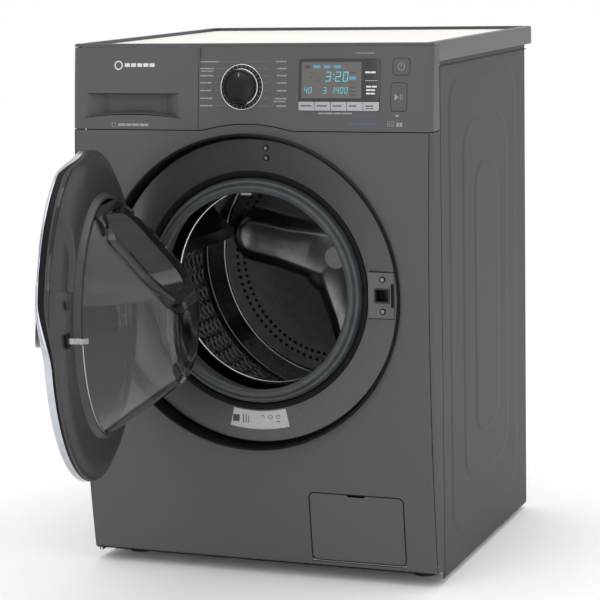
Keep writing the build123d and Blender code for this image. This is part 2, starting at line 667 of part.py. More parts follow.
def dome_profile(low_offset, high_offset, edge):
    """Profile of a domed layer of the door between two offsets from the outer dome."""
    near, far = RIM_FRONT + 1 - low_offset, RIM_FRONT + 1 - high_offset
    middle = edge / 2
    rise = DOME_RISE * (1 - 0.25)
    with BuildSketch(axial) as profile:
        with BuildLine():
            ThreePointArc((0, near - DOME_RISE), (middle, near - rise), (edge, near))
            Line((edge, near), (edge, far))
            ThreePointArc((edge, far), (middle, far - rise), (0, far - DOME_RISE))
            Line((0, far - DOME_RISE), (0, near - DOME_RISE))
        make_face()
    return profile.sketch


def hinge_notch():
    """Clearance in the door's rim for both halves of the hinge."""
    return block(-270, NOTCH_EDGE, -340, -250, AXIS_Z - NOTCH_HALF, AXIS_Z + NOTCH_HALF)


def swing_open(piece):
    """Turn a finished door piece from the shut to the resting position."""
    piece.part = piece.part.rotate(door_hinge, -DOOR_OPEN)


with BuildPart() as door_outer_cover:
    revolve(dome_profile(-SHELL, 0, DOME_RADIUS), axis=drum_axis)
    revolve(outline(axial, (240, -289), (243, -289), (243, -282), (240, -282)), axis=drum_axis)
    with BuildSketch(Plane.XZ.offset(280)):
        with Locations((MOUTH_CENTRE[0], AXIS_Z + MOUTH_CENTRE[1])):
            RectangleRounded(MOUTH_SIZE[0] + 7, MOUTH_SIZE[1] + 7, 50)
    extrude(amount=80, mode=Mode.SUBTRACT)
    add(hinge_notch(), mode=Mode.SUBTRACT)
swing_open(door_outer_cover)
door_outer_cover.part.label = "door_outer_cover"
export_step(door_outer_cover.part, "parts/door_outer_cover.step")

with BuildPart() as door_chrome_trim:
    rim = [(243.2, -279.8), (244.8, -279.8), (245.6, -281), (245.6, -288), (244.4, -290.4), (243.2, -290.4)]
    revolve(outline(axial, *rim), axis=drum_axis)
    add(hinge_notch(), mode=Mode.SUBTRACT)
swing_open(door_chrome_trim)
door_chrome_trim.part.label = "door_chrome_trim"
export_step(door_chrome_trim.part, "parts/door_chrome_trim.step")

HOOK_Z = SLOT_Z
INNER_FACE = -262.5                      # raised face of the door's inner ring
with BuildPart() as door_inner_ring:
    ring = [
        (DOOR_RADIUS, DOOR_INNER - 1), (DOOR_RADIUS - 1, DOOR_INNER), (237, DOOR_INNER + 1),
        (229, INNER_FACE), (183, INNER_FACE), (178.5, -253), (174, -253), (174, -255.5),
        (177, -255.5), (181.4, INNER_FACE - 2.5), (230.5, INNER_FACE - 2.5), (238, -275.6),
        (241.5, -275.6), (241.5, -281.5), (242.8, -281.5), (242.8, -279.6), (DOOR_RADIUS, -279.6),
    ]
    revolve(outline(axial, *ring), axis=drum_axis)
    add(hinge_notch(), mode=Mode.SUBTRACT)
    add(block(SLOT_X - 8, SLOT_X + 8, -290, -255, HOOK_Z - 9, HOOK_Z + 9), mode=Mode.SUBTRACT)
swing_open(door_inner_ring)
door_inner_ring.part.label = "door_inner_ring"
export_step(door_inner_ring.part, "parts/door_inner_ring.step")

bowl_outside = [
    (0, -300), (185, -300), (185, -265.6), (173.4, -265.6), (173.4, -252), (106, -154),
    (100, -145), (90, -138.5), (76, -134), (56, -132), (0, -132),
]
bowl_inside = [
    (0, -310), (181, -310), (181, -269), (169.6, -269), (169.6, -253), (103, -156),
    (97.4, -148), (88.2, -142), (75.4, -137.5), (56, -135.5), (0, -135.5),
]
with BuildPart() as door_bowl:
    revolve(outline(axial, *bowl_outside), axis=drum_axis)
    with BuildSketch(slope_plane):
        Rectangle(600, 600)
    extrude(amount=300, mode=Mode.SUBTRACT)
    with BuildPart(mode=Mode.PRIVATE) as bowl_hollow:
        revolve(outline(axial, *bowl_inside), axis=drum_axis)
        with BuildSketch(slope_plane.offset(-BOWL_WALL)):
            Rectangle(600, 600)
        extrude(amount=300, mode=Mode.SUBTRACT)
    add(bowl_hollow.part, mode=Mode.SUBTRACT)
    add(block(-200, 200, -320, -268.8, 200, 700), mode=Mode.SUBTRACT)
    with BuildSketch(slope_plane.offset(5)):
        RectangleRounded(PASSAGE_SIZE[0] - 10, PASSAGE_SIZE[1] - 10, 57)
    extrude(amount=-12, mode=Mode.SUBTRACT)
swing_open(door_bowl)
door_bowl.part.label = "door_bowl"
export_step(door_bowl.part, "parts/door_bowl.step")

TUB_DROP = 11.0                           # lowest place of the tub that the shut door clears
TUB_MOUTH = 168.5
with BuildPart() as bowl_passage_frame:
    opening = (PASSAGE_SIZE[0] - 2 * PASSAGE_BAR, PASSAGE_SIZE[1] - 2 * PASSAGE_BAR)
    mouth_plane = Plane.XZ.offset(304)
    mouth_place = (MOUTH_CENTRE[0], AXIS_Z + MOUTH_CENTRE[1])
    with BuildPart(mode=Mode.PRIVATE) as bar:
        with BuildSketch(slope_plane):
            RectangleRounded(*PASSAGE_SIZE, PASSAGE_CORNER)
        extrude(amount=9)
        fillet(bar.faces().sort_by(Axis(slope_plane.origin, slope_plane.z_dir))[-1].edges(), 4)
        revolve(outline(axial, (173, -275), (220, -275), (220, -230), (173, -230)), axis=drum_axis, mode=Mode.SUBTRACT)
        sunk = Plane.XY.offset(AXIS_Z - TUB_DROP)
        revolve(
            outline(sunk, (TUB_MOUTH, -234), (220, -234), (220, -190), (TUB_MOUTH, -190)),
            axis=Axis((0, 0, AXIS_Z - TUB_DROP), (0, 1, 0)), mode=Mode.SUBTRACT,
        )
    for wall in (2.5, 0.0):
        mode = Mode.ADD if wall else Mode.SUBTRACT
        if not wall:
            add(bar.part)
        with BuildSketch(slope_plane) as inner_end:
            RectangleRounded(opening[0] + 2 * wall, opening[1] + 2 * wall, 46 + wall)
        with BuildSketch(mouth_plane) as outer_end:
            with Locations(mouth_place):
                RectangleRounded(MOUTH_SIZE[0] + 2 * wall, MOUTH_SIZE[1] + 2 * wall, 46 + wall)
        loft([inner_end.sketch, outer_end.sketch], mode=mode)
        extrude(outer_end.sketch, amount=40, mode=mode)
        if wall:
            clearance = [(169.2, -275), (169.2, -253.2), (102.6, -156), (220, -156), (220, -275)]
            revolve(outline(axial, *clearance), axis=drum_axis, mode=Mode.SUBTRACT)
        else:
            extrude(inner_end.sketch, amount=30, mode=mode)
    revolve(dome_profile(-400, 0, DOME_RADIUS), axis=drum_axis, mode=Mode.INTERSECT)
swing_open(bowl_passage_frame)
bowl_passage_frame.part.label = "bowl_passage_frame"
export_step(bowl_passage_frame.part, "parts/bowl_passage_frame.step")

with BuildPart() as door_hinge_arm:
    for low in (AXIS_Z - KNUCKLE_HIGH, AXIS_Z + KNUCKLE_LOW):
        with BuildSketch(Plane.XY.offset(low)):
            with BuildLine():
                Polyline(
                    (HINGE_X - 3, HINGE_Y + 3), (HINGE_X + 1, HINGE_Y - 7), (-215, -301),
                    (-213.5, -292.5), (-192, -289), (-192, -285), (-212, -285), close=True,
                )
            make_face()
            with Locations((HINGE_X, HINGE_Y)):
                Circle(BARREL_RADIUS)
        extrude(amount=KNUCKLE_HIGH - KNUCKLE_LOW)
    with BuildSketch(Plane.XY.offset(AXIS_Z - KNUCKLE_HIGH)):
        with Locations((HINGE_X, HINGE_Y)):
            Circle(PIN_RADIUS)
    extrude(amount=2 * KNUCKLE_HIGH)
    add(block(-206, -186, -289, -285, AXIS_Z - KNUCKLE_HIGH, AXIS_Z + KNUCKLE_HIGH))
swing_open(door_hinge_arm)
door_hinge_arm.part.label = "door_hinge_arm"
export_step(door_hinge_arm.part, "parts/door_hinge_arm.step")

HOOK_PIVOT = (SLOT_X, -286.0)
with BuildPart() as door_hook:
    with BuildSketch(Plane.XY.offset(HOOK_Z - 4)):
        with BuildLine():
            Polyline(
                (SLOT_X - 2.5, HOOK_PIVOT[1]), (SLOT_X - 2.5, -235), (SLOT_X - 1, -233.5),
                (SLOT_X + 4.5, -241), (SLOT_X + 4.5, -244), (SLOT_X + 2.0, -244),
                (SLOT_X + 2.5, HOOK_PIVOT[1]), close=True,
            )
        make_face()
        with Locations(HOOK_PIVOT):
            Circle(5)
    extrude(amount=8)
    with BuildSketch(Plane.XY.offset(HOOK_Z - 11)):
        with Locations(HOOK_PIVOT):
            Circle(1.6)
    extrude(amount=22)
swing_open(door_hook)
door_hook.part.label = "door_hook"
export_step(door_hook.part, "parts/door_hook.step")

HATCH_PIN = (-14.0, -336.0)
hatch_height = AXIS_Z + HATCH_CENTRE[1]
with BuildPart() as add_door:
    revolve(dome_profile(1.0, HATCH_RISE, DOME_RADIUS - 1), axis=drum_axis)
    with BuildSketch(Plane.XZ):
        with Locations((HATCH_CENTRE[0], hatch_height)):
            Circle(HATCH_RADIUS)
    extrude(amount=500, mode=Mode.INTERSECT)
    with BuildPart(mode=Mode.PRIVATE) as plug:
        with BuildSketch(Plane.XZ.offset(280)):
            with Locations((MOUTH_CENTRE[0] - 1, AXIS_Z + MOUTH_CENTRE[1])):
                RectangleRounded(MOUTH_SIZE[0] - 14, MOUTH_SIZE[1] - 8, 42)
                RectangleRounded(MOUTH_SIZE[0] - 22, MOUTH_SIZE[1] - 16, 38, mode=Mode.SUBTRACT)
        extrude(amount=100)
        revolve(dome_profile(-9, 2, DOME_RADIUS), axis=drum_axis, mode=Mode.INTERSECT)
    add(plug.part)
    with BuildSketch(Plane.XY.offset(hatch_height - 13)):
        with BuildLine():
            Polyline(
                (HATCH_PIN[0], HATCH_PIN[1] + 3.9), (HATCH_PIN[0], HATCH_PIN[1] - 3.9),
                (-2, -335.5), (-2, -329), close=True,
            )
        make_face()
        with Locations(HATCH_PIN):
            Circle(4)
    extrude(amount=26)
    with BuildSketch(Plane.XY.offset(hatch_height - 23)):
        with Locations(HATCH_PIN):
            Circle(2)
    extrude(amount=46)
swing_open(add_door)
add_door.part.label = "add_door"
export_step(add_door.part, "parts/add_door.step")

# ---- Door seal ----------------------------------------------------------------------
with BuildPart() as gasket:
    with BuildSketch(axial):
        with BuildLine():
            Polyline((187.2, -247), (187.2, -252.6), (183.4, -255.6), (178.6, -253.2))
            Spline((178.6, -253.2), (177.6, -258.4), (173.6, -261.0), (171.0, -261.6))
            Polyline((171.0, -261.6), (170.4, -260.2), (169.4, -260.4), (168.8, -263.0))
            Spline((168.8, -263.0), (164.0, -264.8), (158.6, -263.6), (156.6, -260.8))
            Spline((156.6, -260.8), (159.2, -256.6), (164.0, -250.0), (166.0, -240.0))
            Polyline((166.0, -240.0), (166.4, -226.6), (178.6, -226.6), (178.6, -212), (182.6, -212))
            Polyline((182.6, -212), (182.6, -230.6), (169.6, -230.6), (169.6, -240.6))
            Spline((169.6, -240.6), (167.8, -250.6), (170.0, -256.2), (174.0, -254.4))
            Spline((174.0, -254.4), (176.0, -249.6), (180.0, -248.4), (182.4, -250.4))
            Polyline((182.4, -250.4), (184.0, -247), (187.2, -247))
        make_face()
    revolve(axis=drum_axis)
gasket.part.label = "gasket"
export_step(gasket.part, "parts/gasket.step")

# ---- Tub ----------------------------------------------------------------------------
TUB_WALL_OUT = 254.0
TUB_WALL_IN = 250.5
HUB_BORE = 31.0
SUSPENSION_Y = 20.0
DAMPER_X = 170.0
SPRING_X = 214.0
LUG_TOP = 626.0
with BuildPart() as tub_front:
    revolve(outline(
        axial, (170, -226), (178, -226), (178, -222), (173.5, -222), (173.5, -206), (246, -206),
        (TUB_WALL_OUT, -198), (TUB_WALL_OUT, -28), (266, -28), (266, -20), (TUB_WALL_IN, -20),
        (TUB_WALL_IN, -197), (244.5, -202.5), (170, -202.5),
    ), axis=drum_axis)
tub_front.part.label = "tub_front"
export_step(tub_front.part, "parts/tub_front.step")

with BuildPart() as tub_rear:
    for side in (-1, 1):
        lug = sorted((side * 150, side * (SPRING_X + 8)))
        add(block(*lug, SUSPENSION_Y - 12, SUSPENSION_Y + 12, LUG_TOP - 14, LUG_TOP))
        foot = sorted((side * (DAMPER_X - 12), side * (DAMPER_X + 12)))
        add(block(*foot, SUSPENSION_Y - 12, SUSPENSION_Y + 12, 250, 320))
    with BuildSketch(Plane.XZ.offset(-155)):
        with Locations((0, AXIS_Z)):
            Circle(TUB_WALL_IN)
    extrude(amount=200, mode=Mode.SUBTRACT)
    revolve(outline(
        axial, (266, -20), (266, -12), (TUB_WALL_OUT, -12), (TUB_WALL_OUT, 152), (248, 160), (46, 162),
        (46, 208), (HUB_BORE, 208), (HUB_BORE, 168), (24, 168), (24, 156.5), (246.5, 156.5),
        (TUB_WALL_IN, 151), (TUB_WALL_IN, -20),
    ), axis=drum_axis)
    for turn in range(12):
        angle = 30 * turn
        rib = Plane(origin=(0, 0, AXIS_Z), x_dir=(cos(radians(angle)), 0, sin(radians(angle))), z_dir=(0, 1, 0))
        extrude(rectangle_on(rib.offset(159), 44, 240, -2, 2), amount=14)
    with BuildSketch(Plane.XZ.offset(-158)):
        with Locations((0, AXIS_Z)):
            Circle(HUB_BORE)
    extrude(amount=-60, mode=Mode.SUBTRACT)
    revolve(outline(axial, (24, 156.5), (46, 156.5), (46, 168), (24, 168)), axis=drum_axis)
tub_rear.part.label = "tub_rear"
export_step(tub_rear.part, "parts/tub_rear.step")

with BuildPart() as bearings:
    for front, width in ((169.0, 16.0), (191.0, 16.0)):
        inner = SHAFT_RADIUS + RUNNING
        revolve(outline(
            axial, (inner, front), (HUB_BORE - 0.02, front), (HUB_BORE - 0.02, front + width),
            (inner, front + width),
        ), axis=drum_axis)
bearings.part.label = "bearings"
export_step(bearings.part, "parts/bearings.step")

with BuildPart() as front_counterweight:
    revolve(outline(axial, (192, -223), (248, -223), (248, -206.2), (192, -206.2)), axis=drum_axis)
    add(block(-300, 300, -240, -200, 600, 760), mode=Mode.SUBTRACT)
    fillet(front_counterweight.edges().group_by(Axis.Y)[0], 4)
front_counterweight.part.label = "front_counterweight"
export_step(front_counterweight.part, "parts/front_counterweight.step")

with BuildPart() as upper_counterweight:
    add(block(-84, 150, -90, 150, 640, 778))
    with BuildSketch(Plane.XZ.offset(-160)):
        with Locations((0, AXIS_Z)):
            Circle(TUB_WALL_OUT + 0.2)
    extrude(amount=300, mode=Mode.SUBTRACT)
    with BuildSketch(Plane.XZ.offset(10.5)):
        with Locations((0, AXIS_Z)):
            Circle(266.3)
    extrude(amount=22, mode=Mode.SUBTRACT)
upper_counterweight.part.label = "upper_counterweight"
export_step(upper_counterweight.part, "parts/upper_counterweight.step")

# ---- Motor and belt drive -----------------------------------------------------------
MOTOR_RADIUS = 57.0
MOTOR_SHAFT = 6.0
BELT_THICK = 3.0
BELT_GAP = 0.4
BELT_FRONT, BELT_REAR = 214.0, 226.0
motor_axis = Axis((0, 0, MOTOR_Z), (0, 1, 0))
motor_axial = Plane.XY.offset(MOTOR_Z)

with BuildPart() as motor:
    for left in (-46, 30):
        add(block(left, left + 16, 84, 150, MOTOR_Z, 240))
    with BuildSketch(Plane.XZ):
        with Locations((0, AXIS_Z)):
            Circle(TUB_WALL_OUT + 0.1)
    extrude(amount=-300, mode=Mode.SUBTRACT)
    revolve(outline(
        motor_axial, (0, 70), (40, 70), (MOTOR_RADIUS - 5, 80), (MOTOR_RADIUS, 88), (MOTOR_RADIUS, 176),
        (MOTOR_RADIUS - 5, 186), (36, 192), (20, 203), (0, 203),
    ), axis=motor_axis)
    with BuildSketch(Plane.XZ.offset(-120)):
        with Locations((0, MOTOR_Z)):
            Circle(MOTOR_SHAFT + RUNNING)
    extrude(amount=-100, mode=Mode.SUBTRACT)
motor.part.label = "motor"
export_step(motor.part, "parts/motor.step")

with BuildPart() as motor_pulley:
    revolve(outline(
        motor_axial, (0, 125), (MOTOR_SHAFT, 125), (MOTOR_SHAFT, 206), (MOTOR_PULLEY_RADIUS + 4, 206),
        (MOTOR_PULLEY_RADIUS + 4, 209), (MOTOR_PULLEY_RADIUS, 211), (MOTOR_PULLEY_RADIUS, 229),
        (MOTOR_PULLEY_RADIUS + 4, 231), (MOTOR_PULLEY_RADIUS + 4, 234), (0, 234),
    ), axis=motor_axis)
motor_pulley.part.label = "motor_pulley"
export_step(motor_pulley.part, "parts/motor_pulley.step")


def belt_loop(plane, offset):
    """Outline of the belt around both pulleys, a distance off their rims."""
    large, small = PULLEY_RADIUS + offset, MOTOR_PULLEY_RADIUS + offset
    lean = (large - small) / (AXIS_Z - MOTOR_Z)
    across = sqrt(1 - lean**2)
    with BuildSketch(plane) as loop:
        with BuildLine():
            Polyline(
                (large * across, AXIS_Z - large * lean), (small * across, MOTOR_Z - small * lean),
                (-small * across, MOTOR_Z - small * lean), (-large * across, AXIS_Z - large * lean), close=True,
            )
        make_face()
        with Locations((0, AXIS_Z)):
            Circle(large)
        with Locations((0, MOTOR_Z)):
            Circle(small)
    return loop.sketch


with BuildPart() as drive_belt:
    belt_plane = Plane.XZ.offset(-BELT_REAR)
    extrude(belt_loop(belt_plane, BELT_GAP + BELT_THICK), amount=BELT_REAR - BELT_FRONT)
    extrude(belt_loop(belt_plane, BELT_GAP), amount=BELT_REAR - BELT_FRONT, mode=Mode.SUBTRACT)
drive_belt.part.label = "drive_belt"
export_step(drive_belt.part, "parts/drive_belt.step")

# ---- Drum ---------------------------------------------------------------------------
DRUM_SHEET = 1.0
DRUM_SEAM = -163.0
BACK_RIM = 208.0
STAR_ANGLES = (46.5, 166.5, 286.5)
STAR_RISE = 26.0
LIFTER_ANGLES = (45.0, 165.0, 285.0)
outer = DRUM_RADIUS + DRUM_SHEET
with BuildPart() as drum_shell:
    revolve(outline(
        axial, (DRUM_RADIUS, DRUM_SEAM), (outer, DRUM_SEAM), (outer, 110.4), (234.2, 118),
        (213, DRUM_REAR + 0.7), (BACK_RIM, DRUM_REAR + 1), (BACK_RIM, DRUM_REAR), (212.6, DRUM_REAR - 0.3),
        (233.2, 117.4), (DRUM_RADIUS, 110),
    ), axis=drum_axis)
drum_shell.part.label = "drum_shell"
export_step(drum_shell.part, "parts/drum_shell.step")

with BuildPart() as drum_front:
    with BuildSketch(axial):
        add(outline(
            Plane.XY, (DRUM_LIP + 3, DRUM_FRONT), (205, -180.5), (228, -174), (outer, -165),
            (outer, DRUM_SEAM - 0.05), (DRUM_RADIUS, DRUM_SEAM - 0.05), (DRUM_RADIUS, -164.6),
            (227.5, -173), (204.9, -179.4), (DRUM_LIP + 3, DRUM_FRONT + 1.1),
        ))
        with Locations((DRUM_LIP + 3, DRUM_FRONT + 3)):
            Circle(3)
    revolve(axis=drum_axis)
drum_front.part.label = "drum_front"
export_step(drum_front.part, "parts/drum_front.step")


def star_arm(angle, base_y, shrink):
    """One tapered arm of the star pressed into the drum's back, as a solid."""
    direction = (cos(radians(angle)), 0, sin(radians(angle)))
    base = Plane(origin=(0, base_y, AXIS_Z), x_dir=direction, z_dir=(0, -1, 0))
    foot = rectangle_on(base, -60 + shrink, 204 - shrink, -44 + shrink, 44 - shrink, 30 - shrink)
    top = base.offset(STAR_RISE)
    crest = rectangle_on(top, -34 + shrink, 168 - shrink, -20 + shrink, 20 - shrink, 14 - shrink)
    return loft([foot, crest])


with BuildPart() as drum_back:
    back_plane = Plane.XZ.offset(-DRUM_REAR - 2.1)
    with BuildSketch(back_plane):
        with Locations((0, AXIS_Z)):
            Circle(212)
    extrude(amount=DRUM_SHEET)
    for angle in STAR_ANGLES:
        add(star_arm(angle, DRUM_REAR + 1.2, 0))
    for angle in STAR_ANGLES:
        add(star_arm(angle, DRUM_REAR + 2.2, 1), mode=Mode.SUBTRACT)
drum_back.part.label = "drum_back"
export_step(drum_back.part, "parts/drum_back.step")

with BuildPart() as drum_lifters:
    for angle in LIFTER_ANGLES:
        outward = (cos(radians(angle)), 0, sin(radians(angle)))
        centre = (232.6 * outward[0], -25, AXIS_Z + 232.6 * outward[2])
        base = Plane(origin=centre, x_dir=(0, 1, 0), z_dir=(-outward[0], 0, -outward[2]))
        for wall in (0.0, 1.5):
            foot = rectangle_on(base.offset(-wall), wall - 125, 125 - wall, wall - 38, 38 - wall, 20 - wall)
            waist = rectangle_on(base.offset(26 - wall), wall - 116, 116 - wall, wall - 19, 19 - wall, 14 - wall)
            crest = rectangle_on(base.offset(54 - wall), wall - 108, 104 - wall, wall - 11, 11 - wall, 9 - wall)
            loft([foot, waist, crest], mode=Mode.SUBTRACT if wall else Mode.ADD)
drum_lifters.part.label = "drum_lifters"
export_step(drum_lifters.part, "parts/drum_lifters.step")

with BuildPart() as drum_spider:
    for angle in STAR_ANGLES:
        arm = Plane(
            origin=(0, DRUM_REAR + 16, AXIS_Z),
            x_dir=(cos(radians(angle)), 0, sin(radians(angle))),
            z_dir=(0, -1, 0),
        )
        extrude(outline(arm, (0, -30), (200, -15), (208, 0), (200, 15), (0, 30)), amount=13)
    revolve(outline(
        axial, (0, 137), (42, 137), (42, 152), (20, 154), (SHAFT_RADIUS, 158), (SHAFT_RADIUS, 210),
        (12, 210), (12, 228.5), (9, 228.5), (9, 236), (0, 236),
    ), axis=drum_axis)
drum_spider.part.label = "drum_spider"
export_step(drum_spider.part, "parts/drum_spider.step")

with BuildPart() as drum_pulley:
    revolve(outline(
        axial, (12.02, 212), (24, 212), (28, 217), (126, 217), (128, 213), (PULLEY_RADIUS, 213),
        (PULLEY_RADIUS, 227), (128, 227), (126, 221), (28, 221), (24, 228), (12.02, 228),
    ), axis=drum_axis)
    with BuildSketch(Plane.XZ.offset(-210)):
        with Locations((0, AXIS_Z)):
            with PolarLocations(77, 6):
                Circle(27)
    extrude(amount=-20, mode=Mode.SUBTRACT)
drum_pulley.part.label = "drum_pulley"
export_step(drum_pulley.part, "parts/drum_pulley.step")

# ---- Suspension ---------------------------------------------------------------------
ROD_RADIUS = 8.0
ROD_TOP = 250.0
HANGER_Z = 790.0
SPRING_RADIUS = 10.0
SPRING_WIRE = 1.6
SPRING_PITCH = 8.0

with BuildPart() as damper_rods:
    with BuildSketch(Plane.XY.offset(90)):
        with Locations((-DAMPER_X, SUSPENSION_Y), (DAMPER_X, SUSPENSION_Y)):
            Circle(ROD_RADIUS)
    extrude(amount=ROD_TOP - 90)
damper_rods.part.label = "damper_rods"
export_step(damper_rods.part, "parts/damper_rods.step")

with BuildPart() as damper_cylinders:
    with BuildSketch(Plane.XY.offset(18)):
        with Locations((-DAMPER_X, SUSPENSION_Y), (DAMPER_X, SUSPENSION_Y)):
            Circle(14)
    extrude(amount=132)
    with BuildSketch(Plane.XY.offset(60)):
        with Locations((-DAMPER_X, SUSPENSION_Y), (DAMPER_X, SUSPENSION_Y)):
            Circle(ROD_RADIUS + RUNNING)
    extrude(amount=100, mode=Mode.SUBTRACT)
damper_cylinders.part.label = "damper_cylinders"
export_step(damper_cylinders.part, "parts/damper_cylinders.step")

with BuildPart() as suspension_springs:
    low = LUG_TOP + SPRING_WIRE + 0.2
    height = HANGER_Z - SPRING_WIRE - 0.2 - low
    for side in (-1, 1):
        centre = (side * SPRING_X, SUSPENSION_Y, low)
        with BuildLine():
            with Locations(centre):
                coil = Helix(SPRING_PITCH, height, SPRING_RADIUS, center=centre)
        with BuildSketch(Plane(origin=coil @ 0, z_dir=coil % 0)):
            Circle(SPRING_WIRE)
        sweep(path=coil)
suspension_springs.part.label = "suspension_springs"
export_step(suspension_springs.part, "parts/suspension_springs.step")

with BuildPart() as spring_hangers:
    for side in (-1, 1):
        shelf = sorted((side * (SPRING_X - 16), side * 296.3))
        wall = sorted((side * 293.3, side * 296.3))
        add(block(*shelf, SUSPENSION_Y - 14, SUSPENSION_Y + 14, HANGER_Z, HANGER_Z + 3))
        add(block(*wall, SUSPENSION_Y - 30, SUSPENSION_Y + 30, HANGER_Z - 2, HANGER_Z + 24))
spring_hangers.part.label = "spring_hangers"
export_step(spring_hangers.part, "parts/spring_hangers.step")

# ---- Water and power connections ----------------------------------------------------
PUMP_X, PUMP_Z = 167.0, 86.0
PUMP_FRONT = -232.0
FILTER_RADIUS = 26.0
pump_axis = Axis((PUMP_X, 0, PUMP_Z), (0, 1, 0))
pump_axial = Plane(origin=(PUMP_X, 0, PUMP_Z), x_dir=(1, 0, 0), z_dir=(0, 0, 1))

with BuildPart() as drain_pump:
    add(block(PUMP_X - 40, PUMP_X + 40, -204, -150, 34, PUMP_Z))
    revolve(outline(
        pump_axial, (0, PUMP_FRONT), (34, PUMP_FRONT), (34, -160), (27, -154), (27, -112), (20, -104), (0, -104),
    ), axis=pump_axis)
    with BuildSketch(Plane.XZ.offset(-PUMP_FRONT)):
        with Locations((PUMP_X, PUMP_Z)):
            Circle(FILTER_RADIUS + 0.6)
    extrude(amount=-62, mode=Mode.SUBTRACT)
drain_pump.part.label = "drain_pump"
export_step(drain_pump.part, "parts/drain_pump.step")

with BuildPart() as drain_filter:
    revolve(outline(
        pump_axial, (0, PUMP_FRONT - 11), (31, PUMP_FRONT - 11), (33, PUMP_FRONT - 9), (33, PUMP_FRONT - 0.5),
        (FILTER_RADIUS, PUMP_FRONT - 0.5), (FILTER_RADIUS, PUMP_FRONT + 14), (22, PUMP_FRONT + 16),
        (22, PUMP_FRONT + 54), (0, PUMP_FRONT + 54),
    ), axis=pump_axis)
    for side in (-1, 1):
        hollow = sorted((PUMP_X + side * 5, PUMP_X + side * 24))
        add(block(*hollow, PUMP_FRONT - 12, PUMP_FRONT - 3, PUMP_Z - 14, PUMP_Z + 14), mode=Mode.SUBTRACT)
drain_filter.part.label = "drain_filter"
export_step(drain_filter.part, "parts/drain_filter.step")

INLET_RADIUS = 13.2
NIPPLE_END = 297.0
with BuildPart() as inlet_valve:
    add(block(INLET[0] - 22, INLET[0] + 22, 222, 273.6, INLET[1] - 24, INLET[1] + 24))
    fillet(inlet_valve.edges().filter_by(Axis.Y), 5)
    with BuildSketch(Plane.XZ.offset(-270)):
        with Locations(INLET):
            Circle(INLET_RADIUS)
    extrude(amount=270 - NIPPLE_END)
    with BuildSketch(Plane.XZ.offset(-NIPPLE_END)):
        with Locations(INLET):
            Circle(7)
    extrude(amount=22, mode=Mode.SUBTRACT)
inlet_valve.part.label = "inlet_valve"
export_step(inlet_valve.part, "parts/inlet_valve.step")

drain_axial = Plane(origin=(DRAIN[0], 0, DRAIN[1]), x_dir=(1, 0, 0), z_dir=(0, 0, 1))
SPIGOT_END = 303.0
with BuildPart() as drain_outlet:
    revolve(outline(
        drain_axial, (7.5, 262), (10, 262), (10, 270), (22, 270), (22, 273.8), (15.4, 273.8), (15.4, 277.5),
        (10, 278), (10, SPIGOT_END - 1.5), (9, SPIGOT_END), (7.5, SPIGOT_END),
    ), axis=Axis((DRAIN[0], 0, DRAIN[1]), (0, 1, 0)))
drain_outlet.part.label = "drain_outlet"
export_step(drain_outlet.part, "parts/drain_outlet.step")

gland_axial = Plane(origin=(GLAND[0], 0, GLAND[1]), x_dir=(1, 0, 0), z_dir=(0, 0, 1))
with BuildPart() as power_gland:
    revolve(outline(
        gland_axial, (4.5, 268), (13, 268), (13, 273.8), (9.2, 273.8), (9.2, 275.2), (12.5, 275.2),
        (12.5, 279), (8, 288), (4.5, 288),
    ), axis=Axis((GLAND[0], 0, GLAND[1]), (0, 1, 0)))
power_gland.part.label = "power_gland"
export_step(power_gland.part, "parts/power_gland.step")
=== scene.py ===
"""Looks of the front load washing machine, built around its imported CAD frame."""
import json
from math import asin, atan2, cos, hypot, pi, radians, sin, sqrt

import bmesh
import bpy
from mathutils import Matrix, Vector


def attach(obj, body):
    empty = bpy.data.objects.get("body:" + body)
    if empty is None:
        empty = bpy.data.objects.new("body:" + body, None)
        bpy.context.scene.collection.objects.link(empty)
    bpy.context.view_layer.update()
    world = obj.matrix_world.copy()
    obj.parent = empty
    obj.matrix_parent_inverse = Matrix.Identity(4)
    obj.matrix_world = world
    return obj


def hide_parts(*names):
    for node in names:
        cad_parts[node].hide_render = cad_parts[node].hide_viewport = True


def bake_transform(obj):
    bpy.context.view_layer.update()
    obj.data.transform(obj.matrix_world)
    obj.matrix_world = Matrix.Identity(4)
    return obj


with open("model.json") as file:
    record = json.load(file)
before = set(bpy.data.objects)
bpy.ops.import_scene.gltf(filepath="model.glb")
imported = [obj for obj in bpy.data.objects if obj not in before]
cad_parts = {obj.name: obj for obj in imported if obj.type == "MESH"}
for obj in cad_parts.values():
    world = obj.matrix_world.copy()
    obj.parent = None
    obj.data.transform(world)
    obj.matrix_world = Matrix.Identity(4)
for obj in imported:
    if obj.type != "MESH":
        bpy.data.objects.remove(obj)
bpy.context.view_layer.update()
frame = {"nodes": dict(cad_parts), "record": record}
scene = bpy.context.scene
scene.view_settings.view_transform = "Standard"

# ---- Dimensions shared with the CAD, in metres --------------------------------------
MM = 0.001
AXIS_Z = 0.462
FRONT_Y = -0.280
FRONT_RADIUS = 3.270
HINGE = Vector((-0.226, -0.311, 0.0))
DOOR_OPEN = radians(-78)
CONTROL_Z = 0.783
DIAL_X = -0.0085
DRUM_RADIUS = 0.236
BACK_Y = 0.135

door_swing = Matrix.Translation(HINGE) @ Matrix.Rotation(DOOR_OPEN, 4, "Z") @ Matrix.Translation(-HINGE)


def front_y(z):
    """Depth of the bowed front at a height."""
    return FRONT_Y + FRONT_RADIUS - sqrt(FRONT_RADIUS**2 - (z - AXIS_Z) ** 2)


tilt = asin((CONTROL_Z - AXIS_Z) / FRONT_RADIUS)
panel_normal = Vector((0, -cos(tilt), sin(tilt)))
panel_up = Vector((0, sin(tilt), cos(tilt)))
panel_origin = Vector((0, front_y(CONTROL_Z), CONTROL_Z))


def on_panel(u, v, lift):
    """Point over the tilted control plane, from its origin."""
    return panel_origin + Vector((u, 0, 0)) + v * panel_up + lift * panel_normal


